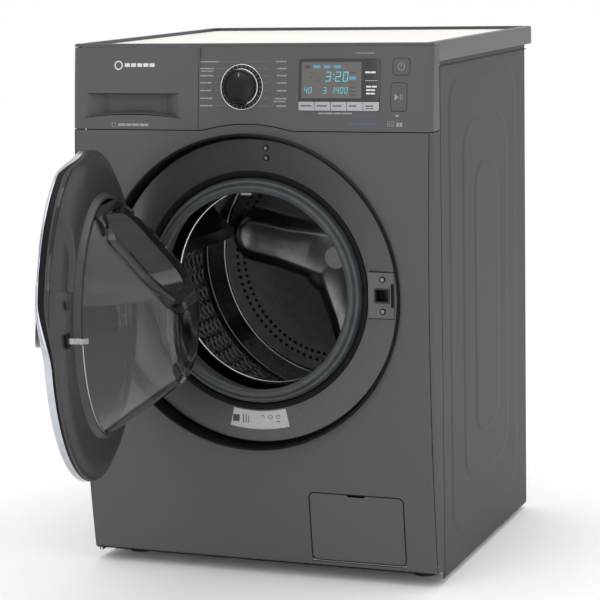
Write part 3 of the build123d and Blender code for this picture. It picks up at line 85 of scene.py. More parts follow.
def on_front(x, z, lift):
    """Point over the bowed front at a place and height."""
    return Vector((x, front_y(z) - lift, z))


# ---- Materials ----------------------------------------------------------------------
def link(tree, source, output, target, socket):
    tree.links.new(source.outputs[output], target.inputs[socket])


def add_noise(tree, coords, scale, detail=3.0, stretch=None):
    """A noise texture on object coordinates, optionally stretched along the axes."""
    noise = tree.nodes.new("ShaderNodeTexNoise")
    noise.inputs["Scale"].default_value = scale
    noise.inputs["Detail"].default_value = detail
    if stretch:
        mapping = tree.nodes.new("ShaderNodeMapping")
        mapping.inputs["Scale"].default_value = stretch
        link(tree, coords, "Object", mapping, "Vector")
        link(tree, mapping, "Vector", noise, "Vector")
    else:
        link(tree, coords, "Object", noise, "Vector")
    return noise


def ramp_between(tree, source, low, high, start=0.35, end=0.65):
    """Colour ramp between two colours, driven by a texture's factor."""
    ramp = tree.nodes.new("ShaderNodeValToRGB")
    ramp.color_ramp.elements[0].position = start
    ramp.color_ramp.elements[1].position = end
    ramp.color_ramp.elements[0].color = (*low, 1)
    ramp.color_ramp.elements[1].color = (*high, 1)
    link(tree, source, "Fac", ramp, "Fac")
    return ramp


def make_material(name, color, rough, vary=0.07, scale=35.0, rough_vary=0.06, bump=0.05, bump_scale=900.0,
                  depth=0.0001, stretch=None, wear_and_highlight=0.0, **sockets):
    """Procedural finish: mottled colour, uneven gloss, fine bump, and lighter convex edges that are partly
    wear and partly painted highlight.
    """
    material = bpy.data.materials.new(name)
    material.use_nodes = True
    tree = material.node_tree
    shader = tree.nodes["Principled BSDF"]
    coords = tree.nodes.new("ShaderNodeTexCoord")
    low = [c * (1 - vary) for c in color]
    high = [min(1.0, c * (1 + vary)) for c in color]
    colour_noise = add_noise(tree, coords, scale, 4.0, stretch)
    ramp = ramp_between(tree, colour_noise, low, high)
    # Convex edges made lighter: partly wear, partly a painted highlight along rounded rims.
    if wear_and_highlight:
        geometry = tree.nodes.new("ShaderNodeNewGeometry")
        edge = tree.nodes.new("ShaderNodeMapRange")
        edge.inputs["From Min"].default_value = 0.51
        edge.inputs["From Max"].default_value = 0.60
        edge.inputs["To Max"].default_value = wear_and_highlight
        link(tree, geometry, "Pointiness", edge, "Value")
        mix = tree.nodes.new("ShaderNodeMix")
        mix.data_type = "RGBA"
        worn_and_highlit = [min(1.0, c * 1.8 + 0.02) for c in color]
        mix.inputs[7].default_value = (*worn_and_highlit, 1)
        tree.links.new(edge.outputs["Result"], mix.inputs[0])
        tree.links.new(ramp.outputs["Color"], mix.inputs[6])
        tree.links.new(mix.outputs[2], shader.inputs["Base Color"])
    else:
        link(tree, ramp, "Color", shader, "Base Color")
    rough_noise = add_noise(tree, coords, scale * 3.1, 3.0, stretch)
    gloss = tree.nodes.new("ShaderNodeMapRange")
    gloss.inputs["To Min"].default_value = max(0.02, rough - rough_vary)
    gloss.inputs["To Max"].default_value = min(1.0, rough + rough_vary)
    link(tree, rough_noise, "Fac", gloss, "Value")
    link(tree, gloss, "Result", shader, "Roughness")
    grain = add_noise(tree, coords, bump_scale, 2.0, stretch)
    relief = tree.nodes.new("ShaderNodeBump")
    relief.inputs["Strength"].default_value = bump
    relief.inputs["Distance"].default_value = depth
    link(tree, grain, "Fac", relief, "Height")
    link(tree, relief, "Normal", shader, "Normal")
    for socket, value in sockets.items():
        shader.inputs[socket.replace("_", " ")].default_value = value
    return material


def metal(name, color, rough, **options):
    return make_material(name, color, rough, Metallic=1.0, **options)


finishes = {
    "body_paint": make_material(
        "dark_inox_paint", (0.088, 0.088, 0.090), 0.52, vary=0.035, scale=700, bump=0.12, bump_scale=420,
        depth=0.00006, Specular_IOR_Level=0.16),
    "frame_plastic": make_material(
        "grey_moulded_frame", (0.088, 0.088, 0.090), 0.42, vary=0.04, scale=300, bump=0.10, bump_scale=1300,
        Specular_IOR_Level=0.3, wear_and_highlight=0.25),
    "panel_plastic": make_material(
        "grey_painted_fascia", (0.089, 0.088, 0.091), 0.46, vary=0.035, scale=650, bump=0.10, bump_scale=500,
        depth=0.00006, Specular_IOR_Level=0.22),
    "ring_plastic": make_material(
        "grey_ring_plastic", (0.110, 0.108, 0.110), 0.32, vary=0.05, scale=260, bump=0.06, bump_scale=1500,
        depth=0.00003, Metallic=0.75),
    "black_plastic": make_material(
        "black_moulding", (0.012, 0.012, 0.013), 0.45, vary=0.2, scale=90, bump=0.2, bump_scale=1400),
    "gloss_black": make_material(
        "black_gloss_window", (0.006, 0.006, 0.007), 0.07, vary=0.2, scale=40, rough_vary=0.02, bump=0.02,
        bump_scale=150, Coat_Weight=0.6),
    "worktop_board": make_material(
        "cream_laminate", (0.78, 0.745, 0.70), 0.38, vary=0.05, scale=520, bump=0.18, bump_scale=900),
    "silver_keys": metal(
        "brushed_silver_keys", (0.34, 0.35, 0.37), 0.32, vary=0.08, scale=120, bump=0.10, bump_scale=500,
        stretch=(1, 1, 14)),
    "chrome_trim": metal(
        "chrome_trim", (0.66, 0.67, 0.71), 0.06, vary=0.03, rough_vary=0.03, bump=0.03, bump_scale=300),
    "seal_rubber": make_material(
        "blue_grey_rubber", (0.040, 0.050, 0.057), 0.42, vary=0.14, scale=60, bump=0.25, bump_scale=700,
        Sheen_Weight=0.12),
    "foot_rubber": make_material(
        "foot_rubber", (0.018, 0.018, 0.018), 0.7, vary=0.2, scale=90, bump=0.4, bump_scale=500),
    "belt_rubber": make_material(
        "belt_rubber", (0.014, 0.014, 0.014), 0.65, vary=0.2, scale=120, bump=0.4, bump_scale=700),
    "galvanised": metal(
        "galvanised_sheet", (0.50, 0.51, 0.53), 0.42, vary=0.16, scale=45, rough_vary=0.12, bump=0.08,
        bump_scale=160),
    "stainless": metal(
        "drum_stainless", (0.22, 0.22, 0.225), 0.16, vary=0.10, scale=60, rough_vary=0.06, bump=0.06,
        bump_scale=250, depth=0.0002),
    "tub_plastic": make_material(
        "filled_tub_plastic", (0.060, 0.060, 0.062), 0.6, vary=0.12, scale=80, bump=0.3, bump_scale=500),
    "white_plastic": make_material(
        "white_moulding", (0.70, 0.70, 0.68), 0.45, vary=0.05, scale=80, bump=0.15, bump_scale=900),
    "tray_plastic": make_material(
        "pale_tray_plastic", (0.55, 0.58, 0.61), 0.35, vary=0.05, scale=90, bump=0.12, bump_scale=900),
    "concrete": make_material(
        "cast_concrete", (0.33, 0.32, 0.30), 0.85, vary=0.3, scale=70, bump=0.7, bump_scale=260,
        depth=0.0012),
    "cast_aluminium": metal(
        "cast_aluminium", (0.48, 0.48, 0.49), 0.48, vary=0.15, scale=120, bump=0.35, bump_scale=420),
    "zinc_steel": metal(
        "zinc_plated_steel", (0.60, 0.60, 0.59), 0.30, vary=0.12, scale=140, bump=0.10, bump_scale=600),
    "circuit_green": make_material(
        "circuit_board", (0.02, 0.12, 0.05), 0.4, vary=0.35, scale=160, bump=0.3, bump_scale=260),
}


def clear_material(name, color, rough, density, edge, **options):
    """Tinted clear plastic: see-through face on, denser towards its silhouette."""
    material = make_material(name, color, rough, **options)
    tree = material.node_tree
    shader = tree.nodes["Principled BSDF"]
    facing = tree.nodes.new("ShaderNodeLayerWeight")
    facing.inputs["Blend"].default_value = 0.35
    veil = tree.nodes.new("ShaderNodeMapRange")
    veil.inputs["To Min"].default_value = density
    veil.inputs["To Max"].default_value = edge
    link(tree, facing, "Facing", veil, "Value")
    link(tree, veil, "Result", shader, "Alpha")
    return material


finishes["smoked_glass"] = clear_material(
    "smoked_cover", (0.008, 0.008, 0.010), 0.05, 0.87, 0.97, vary=0.2, scale=20, rough_vary=0.02, bump=0.02,
    bump_scale=60)
finishes["bowl_glass"] = make_material(
    "clear_bowl_glass", (0.78, 0.81, 0.83), 0.03, vary=0.02, scale=20, rough_vary=0.02, bump=0.03,
    bump_scale=40, depth=0.0004, Transmission_Weight=1.0, IOR=1.46)
finishes["smoked_duct"] = clear_material(
    "smoked_duct", (0.016, 0.017, 0.019), 0.09, 0.84, 0.98, vary=0.2, scale=30, rough_vary=0.03, bump=0.03,
    bump_scale=80)
finishes["lcd_field"] = make_material(
    "lcd_field", (0.105, 0.098, 0.092), 0.30, vary=0.06, scale=200, bump=0.03, bump_scale=600)
finishes["print_grey"] = make_material(
    "pale_print", (0.26, 0.265, 0.27), 0.5, vary=0.08, scale=900, bump=0.05, bump_scale=900)
finishes["print_dark"] = make_material(
    "dark_print", (0.05, 0.05, 0.055), 0.5, vary=0.1, scale=900, bump=0.05, bump_scale=900)
finishes["print_blue"] = make_material(
    "blue_print", (0.055, 0.10, 0.17), 0.5, vary=0.1, scale=900, bump=0.05, bump_scale=900)
finishes["lit_cyan"] = make_material(
    "lit_segments", (0.06, 0.38, 0.46), 0.4, vary=0.1, scale=900, bump=0.02, bump_scale=900,
    Emission_Color=(0.13, 0.52, 0.66, 1), Emission_Strength=0.5)
finishes["lit_blue"] = make_material(
    "lit_pills", (0.07, 0.20, 0.30), 0.4, vary=0.1, scale=900, bump=0.02, bump_scale=900,
    Emission_Color=(0.12, 0.32, 0.48, 1), Emission_Strength=0.25)
finishes["label_paper"] = make_material(
    "label_foil", (0.44, 0.46, 0.45), 0.45, vary=0.05, scale=300, bump=0.06, bump_scale=700)
finishes["dial_black"] = make_material(
    "dial_black", (0.004, 0.004, 0.005), 0.24, vary=0.15, scale=90, bump=0.06, bump_scale=900,
    Specular_IOR_Level=0.25)

finishes["door_face"] = make_material(
    "grey_door_face", (0.046, 0.045, 0.045), 0.36, vary=0.05, scale=260, bump=0.10, bump_scale=1500,
    depth=0.00006, Metallic=0.3)
finishes["badge_silver"] = make_material(
    "badge_silver", (0.62, 0.62, 0.64), 0.35, vary=0.06, scale=300, bump=0.05, bump_scale=900)
# Near black with little gloss, for painted shade: thin sheets laid in seams, gaps, grooves and recesses
# where shade falls.
finishes["painted_shade_black"] = make_material(
    "shadow_rubber", (0.005, 0.005, 0.006), 0.48, vary=0.2, scale=80, bump=0.12, bump_scale=700,
    Specular_IOR_Level=0.12)
# Much darker than the drum steel: painted shade on the lifters, which show dark in the drum's shade.
finishes["lifter_steel_shaded"] = metal(
    "lifter_steel_painted_shade", (0.085, 0.085, 0.09), 0.31, vary=0.10, scale=80, bump=0.06, bump_scale=300)
finishes["back_steel"] = metal(
    "satin_back_steel", (0.20, 0.20, 0.205), 0.34, vary=0.10, scale=70, bump=0.06, bump_scale=260)
# Pale hub cap: its colour is a painted glint that stands in for the cap's bright reflection.
finishes["hub_painted_glint"] = make_material(
    "hub_cap_painted_glint", (0.72, 0.72, 0.74), 0.45, vary=0.06, scale=120, bump=0.08, bump_scale=600)
finishes["edge_chrome"] = metal(
    "door_edge_chrome", (0.50, 0.52, 0.57), 0.10, vary=0.05, scale=60, rough_vary=0.04, bump=0.03,
    bump_scale=300)
# Darker copy of the body paint: painted shade on the side panels, which are the same paint as the front.
finishes["side_paint_shaded"] = make_material(
    "side_panel_paint_shaded", (0.057, 0.057, 0.058), 0.52, vary=0.035, scale=700, bump=0.12, bump_scale=420,
    depth=0.00006, Specular_IOR_Level=0.16)
# Darker copy of the frame plastic for the lid frame: painted shade on it, with stronger edge lightening as a
# painted highlight on its rims.
finishes["lid_frame_shaded_highlit"] = make_material(
    "grey_lid_frame_shaded", (0.064, 0.064, 0.065), 0.38, vary=0.04, scale=300, bump=0.10, bump_scale=1300,
    Specular_IOR_Level=0.3, wear_and_highlight=0.4)
finishes["wall_steel"] = metal(
    "embossed_wall_steel", (0.42, 0.42, 0.43), 0.13, vary=0.08, scale=60, rough_vary=0.05, bump=0.05,
    bump_scale=250, depth=0.0002)
finishes["screw_steel"] = metal(
    "screw_steel", (0.30, 0.30, 0.31), 0.28, vary=0.15, scale=200, bump=0.08, bump_scale=600)

record_slots = {n["node"]: n["material_slot"] for n in frame["record"]["subparts"]}
special = {
    "right_side_panel": "side_paint_shaded", "left_side_panel": "side_paint_shaded", "dial_knob": "dial_black",
    "bowl_passage_frame": "smoked_duct", "add_door": "smoked_glass",
    "ring_screws": "screw_steel", "top_cover_frame": "lid_frame_shaded_highlit", "drum_lifters": "lifter_steel_shaded",
    "door_hook": "screw_steel", "latch_plate": "ring_plastic",
}
for node, thing in frame["nodes"].items():
    finish = finishes[special.get(node, record_slots[node])]
    thing.data.materials.clear()
    thing.data.materials.append(finish)


# ---- Mesh helpers -------------------------------------------------------------------
def add_piece(name, points, faces, finish, body, smooth=True, swing=None, crease=35):
    """A named mesh piece that rides on a body and carries a finish."""
    mesh = bpy.data.meshes.new(name)
    mesh.from_pydata([tuple(p) for p in points], [], faces)
    work = bmesh.new()
    work.from_mesh(mesh)
    bmesh.ops.recalc_face_normals(work, faces=work.faces)
    if swing is not None:
        work.transform(swing)
    work.to_mesh(mesh)
    work.free()
    mesh.materials.append(finishes[finish])
    thing = bpy.data.objects.new(name, mesh)
    scene.collection.objects.link(thing)
    if smooth:
        mesh.shade_smooth()
        mesh.set_sharp_from_angle(angle=radians(crease))
    if body:
        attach(thing, body)
    return thing


def ring_faces(segments, count):
    """Faces that join the turned copies of a closed profile all the way round."""
    faces = []
    for step in range(segments):
        here, there = step * count, (step + 1) % segments * count
        for k in range(count):
            after = (k + 1) % count
            faces.append((here + k, here + after, there + after, there + k))
    return faces


def lathe(name, profile, finish, body, segments=256, centre=(0.0, AXIS_Z), swing=None, ripple=None):
    """Closed profile of (radius, y) turned about a line along Y."""
    points = []
    count = len(profile)
    for step in range(segments):
        angle = 2 * pi * step / segments
        for radius, y in profile:
            reach = radius + (ripple(angle, radius, y) if ripple else 0.0)
            points.append((centre[0] + reach * cos(angle), y, centre[1] + reach * sin(angle)))
    faces = ring_faces(segments, count)
    return add_piece(name, points, faces, finish, body, swing=swing)


def in_metres(profile):
    """Pairs written in millimetres, as metres."""
    return [(a * MM, b * MM) for a, b in profile]


def smooth_loop(points, steps=6):
    """Closed Catmull-Rom curve through the points."""
    out = []
    count = len(points)
    for i in range(count):
        p0, p1, p2, p3 = (points[(i + k - 1) % count] for k in range(4))
        for s in range(steps):
            t = s / steps
            out.append(tuple(
                0.5 * (2 * b + (c - a) * t + (2 * a - 5 * b + 4 * c - d) * t**2
                       + (3 * b - a - 3 * c + d) * t**3)
                for a, b, c, d in zip(p0, p1, p2, p3)
            ))
    return out


def add_plates(name, outlines, place, low, high, finish, body, swing=None):
    """Thin closed plates from flat outlines, laid on a surface by a place function."""
    points, faces = [], []
    for outline in outlines:
        first, count = len(points), len(outline)
        points += [place(a, b, high) for a, b in outline]
        points += [place(a, b, low) for a, b in outline]
        faces.append(tuple(range(first, first + count)))
        faces.append(tuple(reversed(range(first + count, first + 2 * count))))
        for k in range(count):
            after = (k + 1) % count
            faces.append((first + k, first + count + k, first + count + after, first + after))
    return add_piece(name, points, faces, finish, body, smooth=False, swing=swing)


def rect(left, right, low, high):
    return [(left, low), (right, low), (right, high), (left, high)]


def rounded(left, right, low, high, corner, steps=6):
    """Outline of a rectangle with round corners."""
    outline = []
    centres = ((right - corner, high - corner), (left + corner, high - corner),
               (left + corner, low + corner), (right - corner, low + corner))
    for quarter, (x, y) in enumerate(centres):
        for s in range(steps + 1):
            angle = pi / 2 * (quarter + s / steps)
            outline.append((x + corner * cos(angle), y + corner * sin(angle)))
    return outline


def arc_strip(x, y, radius, width, start, end, steps=24):
    """Quads along an arc, as separate flat outlines joined end to end."""
    inner, outer = radius - width / 2, radius + width / 2
    out = []
    for s in range(steps):
        a = radians(start + (end - start) * s / steps)
        b = radians(start + (end - start) * (s + 1) / steps)
        out.append([
            (x + inner * cos(a), y + inner * sin(a)), (x + outer * cos(a), y + outer * sin(a)),
            (x + outer * cos(b), y + outer * sin(b)), (x + inner * cos(b), y + inner * sin(b)),
        ])
    return out


def words(left, y, height, widths, gap=None):
    """A line of generic blocks that stands for print."""
    gap = height * 0.5 if gap is None else gap
    out = []
    for width in widths:
        out.append(rect(left, left + width, y, y + height))
        left += width + gap
    return out


SEGMENTS = {"0": "abcdef", "1": "bc", "2": "abged", "3": "abgcd", "4": "fgbc", "6": "afgedc"}


def digits(text, left, y, width, height, stroke):
    """Seven segment digits with slanted uprights."""
    lean = 0.12
    out = []
    for symbol in text:
        if symbol == ":":
            for dot in (0.3, 0.7):
                x = left + lean * height * dot
                out.append(rect(x, x + stroke, y + height * dot - stroke / 2, y + height * dot + stroke / 2))
            left += stroke * 2.2
            continue
        half = height / 2
        bars = {
            "a": (0, height - stroke, width, height), "g": (0, half - stroke / 2, width, half + stroke / 2),
            "d": (0, 0, width, stroke), "f": (0, half, stroke, height),
            "b": (width - stroke, half, width, height),
            "e": (0, 0, stroke, half), "c": (width - stroke, 0, width, half),
        }
        for key in SEGMENTS[symbol]:
            x0, y0, x1, y1 = bars[key]
            pad = stroke * 0.16
            bar = rect(x0 + pad, x1 - pad, y0 + pad, y1 - pad)
            out.append([(left + x + lean * h, y + h) for x, h in bar])
        left += width * 1.42
    return out


# ---- Camera, floor and light --------------------------------------------------------
EYE = Vector((1.2900, -3.4243, 1.0052))
YAW, PITCH, ROLL = radians(21.105), radians(9.676), radians(-1.276)
forward = Vector((-sin(YAW) * cos(PITCH), cos(YAW) * cos(PITCH), -sin(PITCH)))
level = Vector((cos(YAW), sin(YAW), 0))
upward = level.cross(forward)
right = cos(ROLL) * level + sin(ROLL) * upward
above = -sin(ROLL) * level + cos(ROLL) * upward
camera_data = bpy.data.cameras.new("camera")
camera_data.lens = 132.0
camera_data.sensor_width = 36.0
camera_data.shift_x = 0.0094
camera_data.shift_y = 0.0257
camera_data.clip_end = 50
camera = bpy.data.objects.new("camera", camera_data)
scene.collection.objects.link(camera)
basis = Matrix((right, above, -forward)).transposed()
camera.matrix_world = Matrix.Translation(EYE) @ basis.to_4x4()
scene.camera = camera

world = bpy.data.worlds.new("studio")
scene.world = world
world.use_nodes = True
background = world.node_tree.nodes["Background"]
background.inputs["Color"].default_value = (1.0, 1.0, 1.0, 1)
background.inputs["Strength"].default_value = 1.0

floor_mesh = bpy.data.meshes.new("floor")
floor_mesh.from_pydata([(-30, -30, 0), (30, -30, 0), (30, 30, 0), (-30, 30, 0)], [], [(0, 1, 2, 3)])
finishes["floor"] = make_material(
    "pale_floor", (1.0, 1.0, 1.0), 0.8, vary=0.01, scale=3, bump=0.02, bump_scale=60)
floor_mesh.materials.append(finishes["floor"])
floor = bpy.data.objects.new("floor", floor_mesh)
scene.collection.objects.link(floor)


def add_light(name, place, target, size, power):
    """A soft rectangular light aimed at a point."""
    data = bpy.data.lights.new(name, "AREA")
    data.shape = "RECTANGLE"
    data.size, data.size_y = size
    data.energy = power
    lamp = bpy.data.objects.new(name, data)
    lamp.location = place
    lamp.rotation_mode = "QUATERNION"
    lamp.rotation_quaternion = (Vector(target) - Vector(place)).to_track_quat("-Z", "Y")
    scene.collection.objects.link(lamp)


add_light("key", (-1.0, -3.6, 2.9), (0, -0.2, 0.5), (2.2, 1.6), 14)
add_light("right_fill", (3.4, -0.9, 1.5), (0.2, 0, 0.4), (1.6, 2.2), 2)
add_light("top", (0.2, -0.2, 3.4), (0, 0, 0.8), (2.4, 2.4), 22)
add_light("drum_glint", (0.12, -1.7, 0.72), (-0.05, 0.11, 0.49), (0.8, 0.8), 1.5)

# ---- Door seal ----------------------------------------------------------------------
seal_profile = smooth_loop([
    (187.0, -247.2), (187.0, -252.0), (184.4, -255.4), (181.4, -255.9), (179.0, -253.2), (177.8, -255.6),
    (176.2, -259.4), (173.4, -261.2), (171.2, -261.2), (170.2, -259.8), (169.2, -261.0), (166.4, -264.2),
    (161.6, -264.6), (158.2, -263.2), (156.7, -260.6), (158.4, -257.6), (161.8, -252.6), (163.2, -247.0),
    (160.9, -243.0), (161.6, -239.2), (165.2, -236.0), (166.4, -231.0), (167.4, -227.4), (171.0, -226.8),
    (178.5, -226.7), (178.7, -219.0), (178.8, -212.6), (182.4, -212.6), (182.5, -220.0), (182.3, -229.6),
    (179.4, -230.4), (170.0, -230.4), (169.0, -235.0), (167.6, -239.0), (165.0, -241.6), (167.0, -245.6),
    (166.9, -250.6), (168.2, -255.0), (171.4, -256.4), (174.0, -254.4), (176.2, -250.0), (180.0, -248.6),
    (182.6, -250.6), (184.2, -247.4),
], steps=4)
seal_profile = in_metres(seal_profile)


def seal_ripple(angle, radius, y):
    """Slow unevenness of the moulded rubber lip."""
    inner = max(0.0, min(1.0, (0.176 - radius) / 0.02))
    return inner * (0.00035 * sin(5 * angle + 0.6) + 0.00022 * sin(11 * angle + 2.0))


seal = lathe("gasket_bellows", seal_profile, "seal_rubber", None, ripple=seal_ripple)
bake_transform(seal)
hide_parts("gasket")
# Black lip between the seal and the ring face: painted shadow in the gap there.
shadow_lip_profile = [
    (179.4, -252.4), (180.6, -256.2), (183.0, -257.4), (187.0, -257.6), (189.2, -257.0), (190.2, -255.6),
    (189.6, -254.0), (187.0, -253.0),
]
shadow_lip_profile = in_metres(smooth_loop(shadow_lip_profile, 3))
lathe("gasket_shadow_lip", shadow_lip_profile, "painted_shade_black", "root")
nozzle_outline = rounded(-0.0088, 0.0088, -0.0017, 0.0017, 0.0012)
add_plates(
    "spray_nozzle", [nozzle_outline], lambda a, b, w: Vector((a - 0.0075, -0.2608 - w, AXIS_Z + 0.1543 + b)),
    -0.003, 0.0, "print_grey", "root")

# ---- Pierced drum ------------------------------------------------------------------


def add_pierced(name, cells_u, cells_v, steps, place, cell_size, hole, pierced, finish, body):
    """Closed band of square cells; chosen cells get a round hole with a rolled edge."""
    points, faces, index = [], [], {}

    def point(u, v, sink=0.0):
        key = (round(u * 64) % (cells_u * 64), round(v * 64), round(sink * 1e6))
        if key not in index:
            index[key] = len(points)
            points.append(place(u, v, sink))
        return index[key]

    for i in range(cells_u):
        for j in range(cells_v):
            if not pierced(i, j):
                for a in range(steps):
                    for b in range(steps):
                        corners = ((a, b), (a + 1, b), (a + 1, b + 1), (a, b + 1))
                        faces.append(tuple(point(i + p / steps, j + q / steps) for p, q in corners))
                continue
            border = [(k / steps, 0) for k in range(steps)] + [(1, k / steps) for k in range(steps)]
            border += [(1 - k / steps, 1) for k in range(steps)] + [(0, 1 - k / steps) for k in range(steps)]
            rings = [[point(i + p, j + q) for p, q in border]]
            for reach, sink in ((1.9, 0.0), (1.25, 0.0), (1.0, 0.0006), (0.97, 0.0022)):
                ring = []
                for p, q in border:
                    angle = atan2(q - 0.5, p - 0.5)
                    du = reach * hole * cos(angle) / cell_size(j + 0.5)[0]
                    dv = reach * hole * sin(angle) / cell_size(j + 0.5)[1]
                    ring.append(len(points))
                    points.append(place(i + 0.5 + du, j + 0.5 + dv, sink))
                rings.append(ring)
            for outer, inner in zip(rings, rings[1:]):
                for k in range(len(outer)):
                    after = (k + 1) % len(outer)
                    faces.append((outer[k], outer[after], inner[after], inner[k]))
    return add_piece(name, points, faces, finish, body)


SHELL_FRONT, SHELL_REAR = -0.1630, 0.1104
SHELL_ROUND, SHELL_ROWS = 48, 15
shell_pitch = (SHELL_REAR - SHELL_FRONT) / SHELL_ROWS


def shell_place(u, v, sink):
    """Point on the drum wall, embossed with soft diamonds between the holes."""
    angle = 2 * pi * u / SHELL_ROUND
    y = SHELL_FRONT + v * shell_pitch
    edge = min(1.0, max(0.0, (v - 0.9) / 0.8), max(0.0, (SHELL_ROWS - 0.9 - v) / 0.8))
    pillow = (cos(2 * pi * u) * cos(2 * pi * v) + 1) / 2
    radius = DRUM_RADIUS - 0.0002 - 0.0040 * edge * pillow**1.2 + sink
    return Vector((radius * cos(angle), y, AXIS_Z + radius * sin(angle)))


def shell_hole(i, j):
    return 0 < j < SHELL_ROWS - 1


wall_inside = add_pierced(
    "drum_wall_pierced", SHELL_ROUND, SHELL_ROWS, 8, shell_place,
    lambda v: (2 * pi * DRUM_RADIUS / SHELL_ROUND, shell_pitch),
    0.0016, shell_hole, "wall_steel", "drum")
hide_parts("drum_shell")
corner_profile = [
    (236.8, -163.0), (236.8, 110.4), (234.2, 118.0), (224, 126.6), (213, 134.7), (208, 134.9), (208, 134.0),
    (211.4, 133.6), (213.2, 133.0), (214.2, 132.2), (214.8, 131.5), (234.3, 112.2), (235.2, 111.2),
    (235.8, 110.2), (236.05, 109.0), (236.2, -163.0),
]
lathe("drum_wall_outer", in_metres(corner_profile), "stainless", "drum")

seam_ring = smooth_loop([(235.0, 109.6), (235.6, 108.8), (236.2, 109.6), (235.6, 110.6)], 3)
lathe("drum_corner_bead", in_metres(seam_ring), "chrome_trim", "drum")

STAR_ANGLES = (46.5, 166.5, 286.5)
STAR_RISE, CONE_DEPTH = 0.0340, 0.0012
BACK_ROUND, BACK_ROWS = 96, 15
BACK_INNER, BACK_OUTER = 0.014, 0.2085
back_pitch = (BACK_OUTER - BACK_INNER) / BACK_ROWS


def smooth_rise(share):
    return share * share * (3 - 2 * share)


def star_height(x, z):
    """Rise of the star pressed into the drum's back, towards the front."""
    best = 0.0
    for angle in STAR_ANGLES:
        along = x * cos(radians(angle)) + z * sin(radians(angle))
        across = abs(-x * sin(radians(angle)) + z * cos(radians(angle)))
        end = hypot(max(0.0, along - 0.150), across) if along > 0 else hypot(along, across)
        crest = 0.024 + 0.012 * max(0.0, 1 - max(0.0, along) / 0.10)
        slope = (end - crest) / 0.026
        crest_rise = 0.38 + 0.62 * min(1.0, max(0.0, along) / 0.165)
        crest_rise -= 0.13 * max(0.0, 1 - (end / crest)**2) * min(1.0, max(0.0, along) / 0.05)
        best = max(best, crest_rise * smooth_rise(1 - max(0.0, min(1.0, slope))))
    hub = 1 - max(0.0, min(1.0, (hypot(x, z) - 0.052) / 0.026))
    return max(best, 0.38 * smooth_rise(hub))


def back_place(u, v, sink):
    angle = 2 * pi * u / BACK_ROUND
    radius = BACK_INNER + v * back_pitch
    x, z = radius * cos(angle), radius * sin(angle)
    cone = CONE_DEPTH * (1 - radius / BACK_OUTER)
    return Vector((x, BACK_Y - STAR_RISE * star_height(x, z) + cone + sink, AXIS_Z + z))


def back_hole(i, j):
    if j not in (BACK_ROWS - 2, BACK_ROWS - 3):
        return False
    angle = 2 * pi * (i + 0.5) / BACK_ROUND
    radius = BACK_INNER + (j + 0.5) * back_pitch
    return star_height((radius + 0.004) * cos(angle), (radius + 0.004) * sin(angle)) < 0.02


back = add_pierced(
    "drum_back_star", BACK_ROUND, BACK_ROWS, 4, back_place,
    lambda v: (2 * pi * (BACK_INNER + v * back_pitch) / BACK_ROUND, back_pitch),
    0.0026, back_hole, "back_steel", "drum")
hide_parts("drum_back")
# Hub cap in the pale painted-glint finish.
hub_profile = [(0.02, 119.0), (10, 119.2), (16, 120.0), (19.5, 121.6), (19.5, 124), (0.02, 124)]
lathe("drum_hub_cap", in_metres(hub_profile), "hub_painted_glint", "drum", segments=96)

lip_profile = smooth_loop([
    (158.0, -181.0), (158.8, -183.2), (161.0, -184.0), (163.2, -183.2), (164.0, -181.0), (163.2, -178.8),
    (161.0, -178.0), (158.8, -178.8),
], 3)
LIP_INSET = 0.1
lip_profile = in_metres([(radius - LIP_INSET, y) for radius, y in lip_profile])
lathe("drum_rolled_lip", lip_profile, "chrome_trim", "drum")

# ---- Dial ---------------------------------------------------------------------------


def panel_lathe(name, profile, finish, body, segments=128, centre=(DIAL_X, 0.0)):
    """Closed profile of (radius, lift) turned about the dial's axis."""
    points = []
    count = len(profile)
    for step in range(segments):
        angle = 2 * pi * step / segments
        for radius, lift in profile:
            points.append(on_panel(centre[0] + radius * cos(angle), centre[1] + radius * sin(angle), lift))
    faces = ring_faces(segments, count)
    return add_piece(name, points, faces, finish, body)


bezel = [(27.8, -0.3), (27.8, 0.9), (28.4, 1.3), (33.0, 1.0), (34.4, 0.4), (34.6, -0.3)]
panel_lathe("dial_bezel", in_metres(bezel), "dial_black", "root")
chrome_ring = smooth_loop([(27.0, 2.0), (28.2, 2.4), (28.6, 3.6), (28.2, 4.8), (27.05, 5.0)], 3)
panel_lathe("dial_chrome_ring", in_metres(chrome_ring), "chrome_trim", "dial")
rim_ring = smooth_loop([(34.2, 0.2), (35.0, 0.1), (35.4, 0.6), (35.0, 1.1), (34.2, 1.0)], 2)
panel_lathe("dial_outer_ring", in_metres(rim_ring), "chrome_trim", "root")
cap = [(0.02, 13.2), (22.6, 13.1), (22.95, 12.95), (22.95, 12.8), (0.02, 12.8)]
panel_lathe("dial_face", in_metres(cap), "dial_black", "dial")
ticks = []
for step in range(28):
    angle = 2 * pi * step / 28
    run, side = Vector((cos(angle), sin(angle))), Vector((-sin(angle), cos(angle)))
    centre = Vector((DIAL_X, 0))
    corners = ((0.0302, -0.0003), (0.0330, -0.0003), (0.0330, 0.0003), (0.0302, 0.0003))
    ticks.append([tuple(centre + run * a + side * b) for a, b in corners])
add_plates("dial_ticks", ticks, on_panel, 0.0009, 0.0014, "print_grey", "root")
pointer = [rect(DIAL_X - 0.0008, DIAL_X + 0.0008, 0.0155, 0.0215)]
add_plates("dial_pointer", pointer, on_panel, 0.0130, 0.0135, "print_grey", "dial")

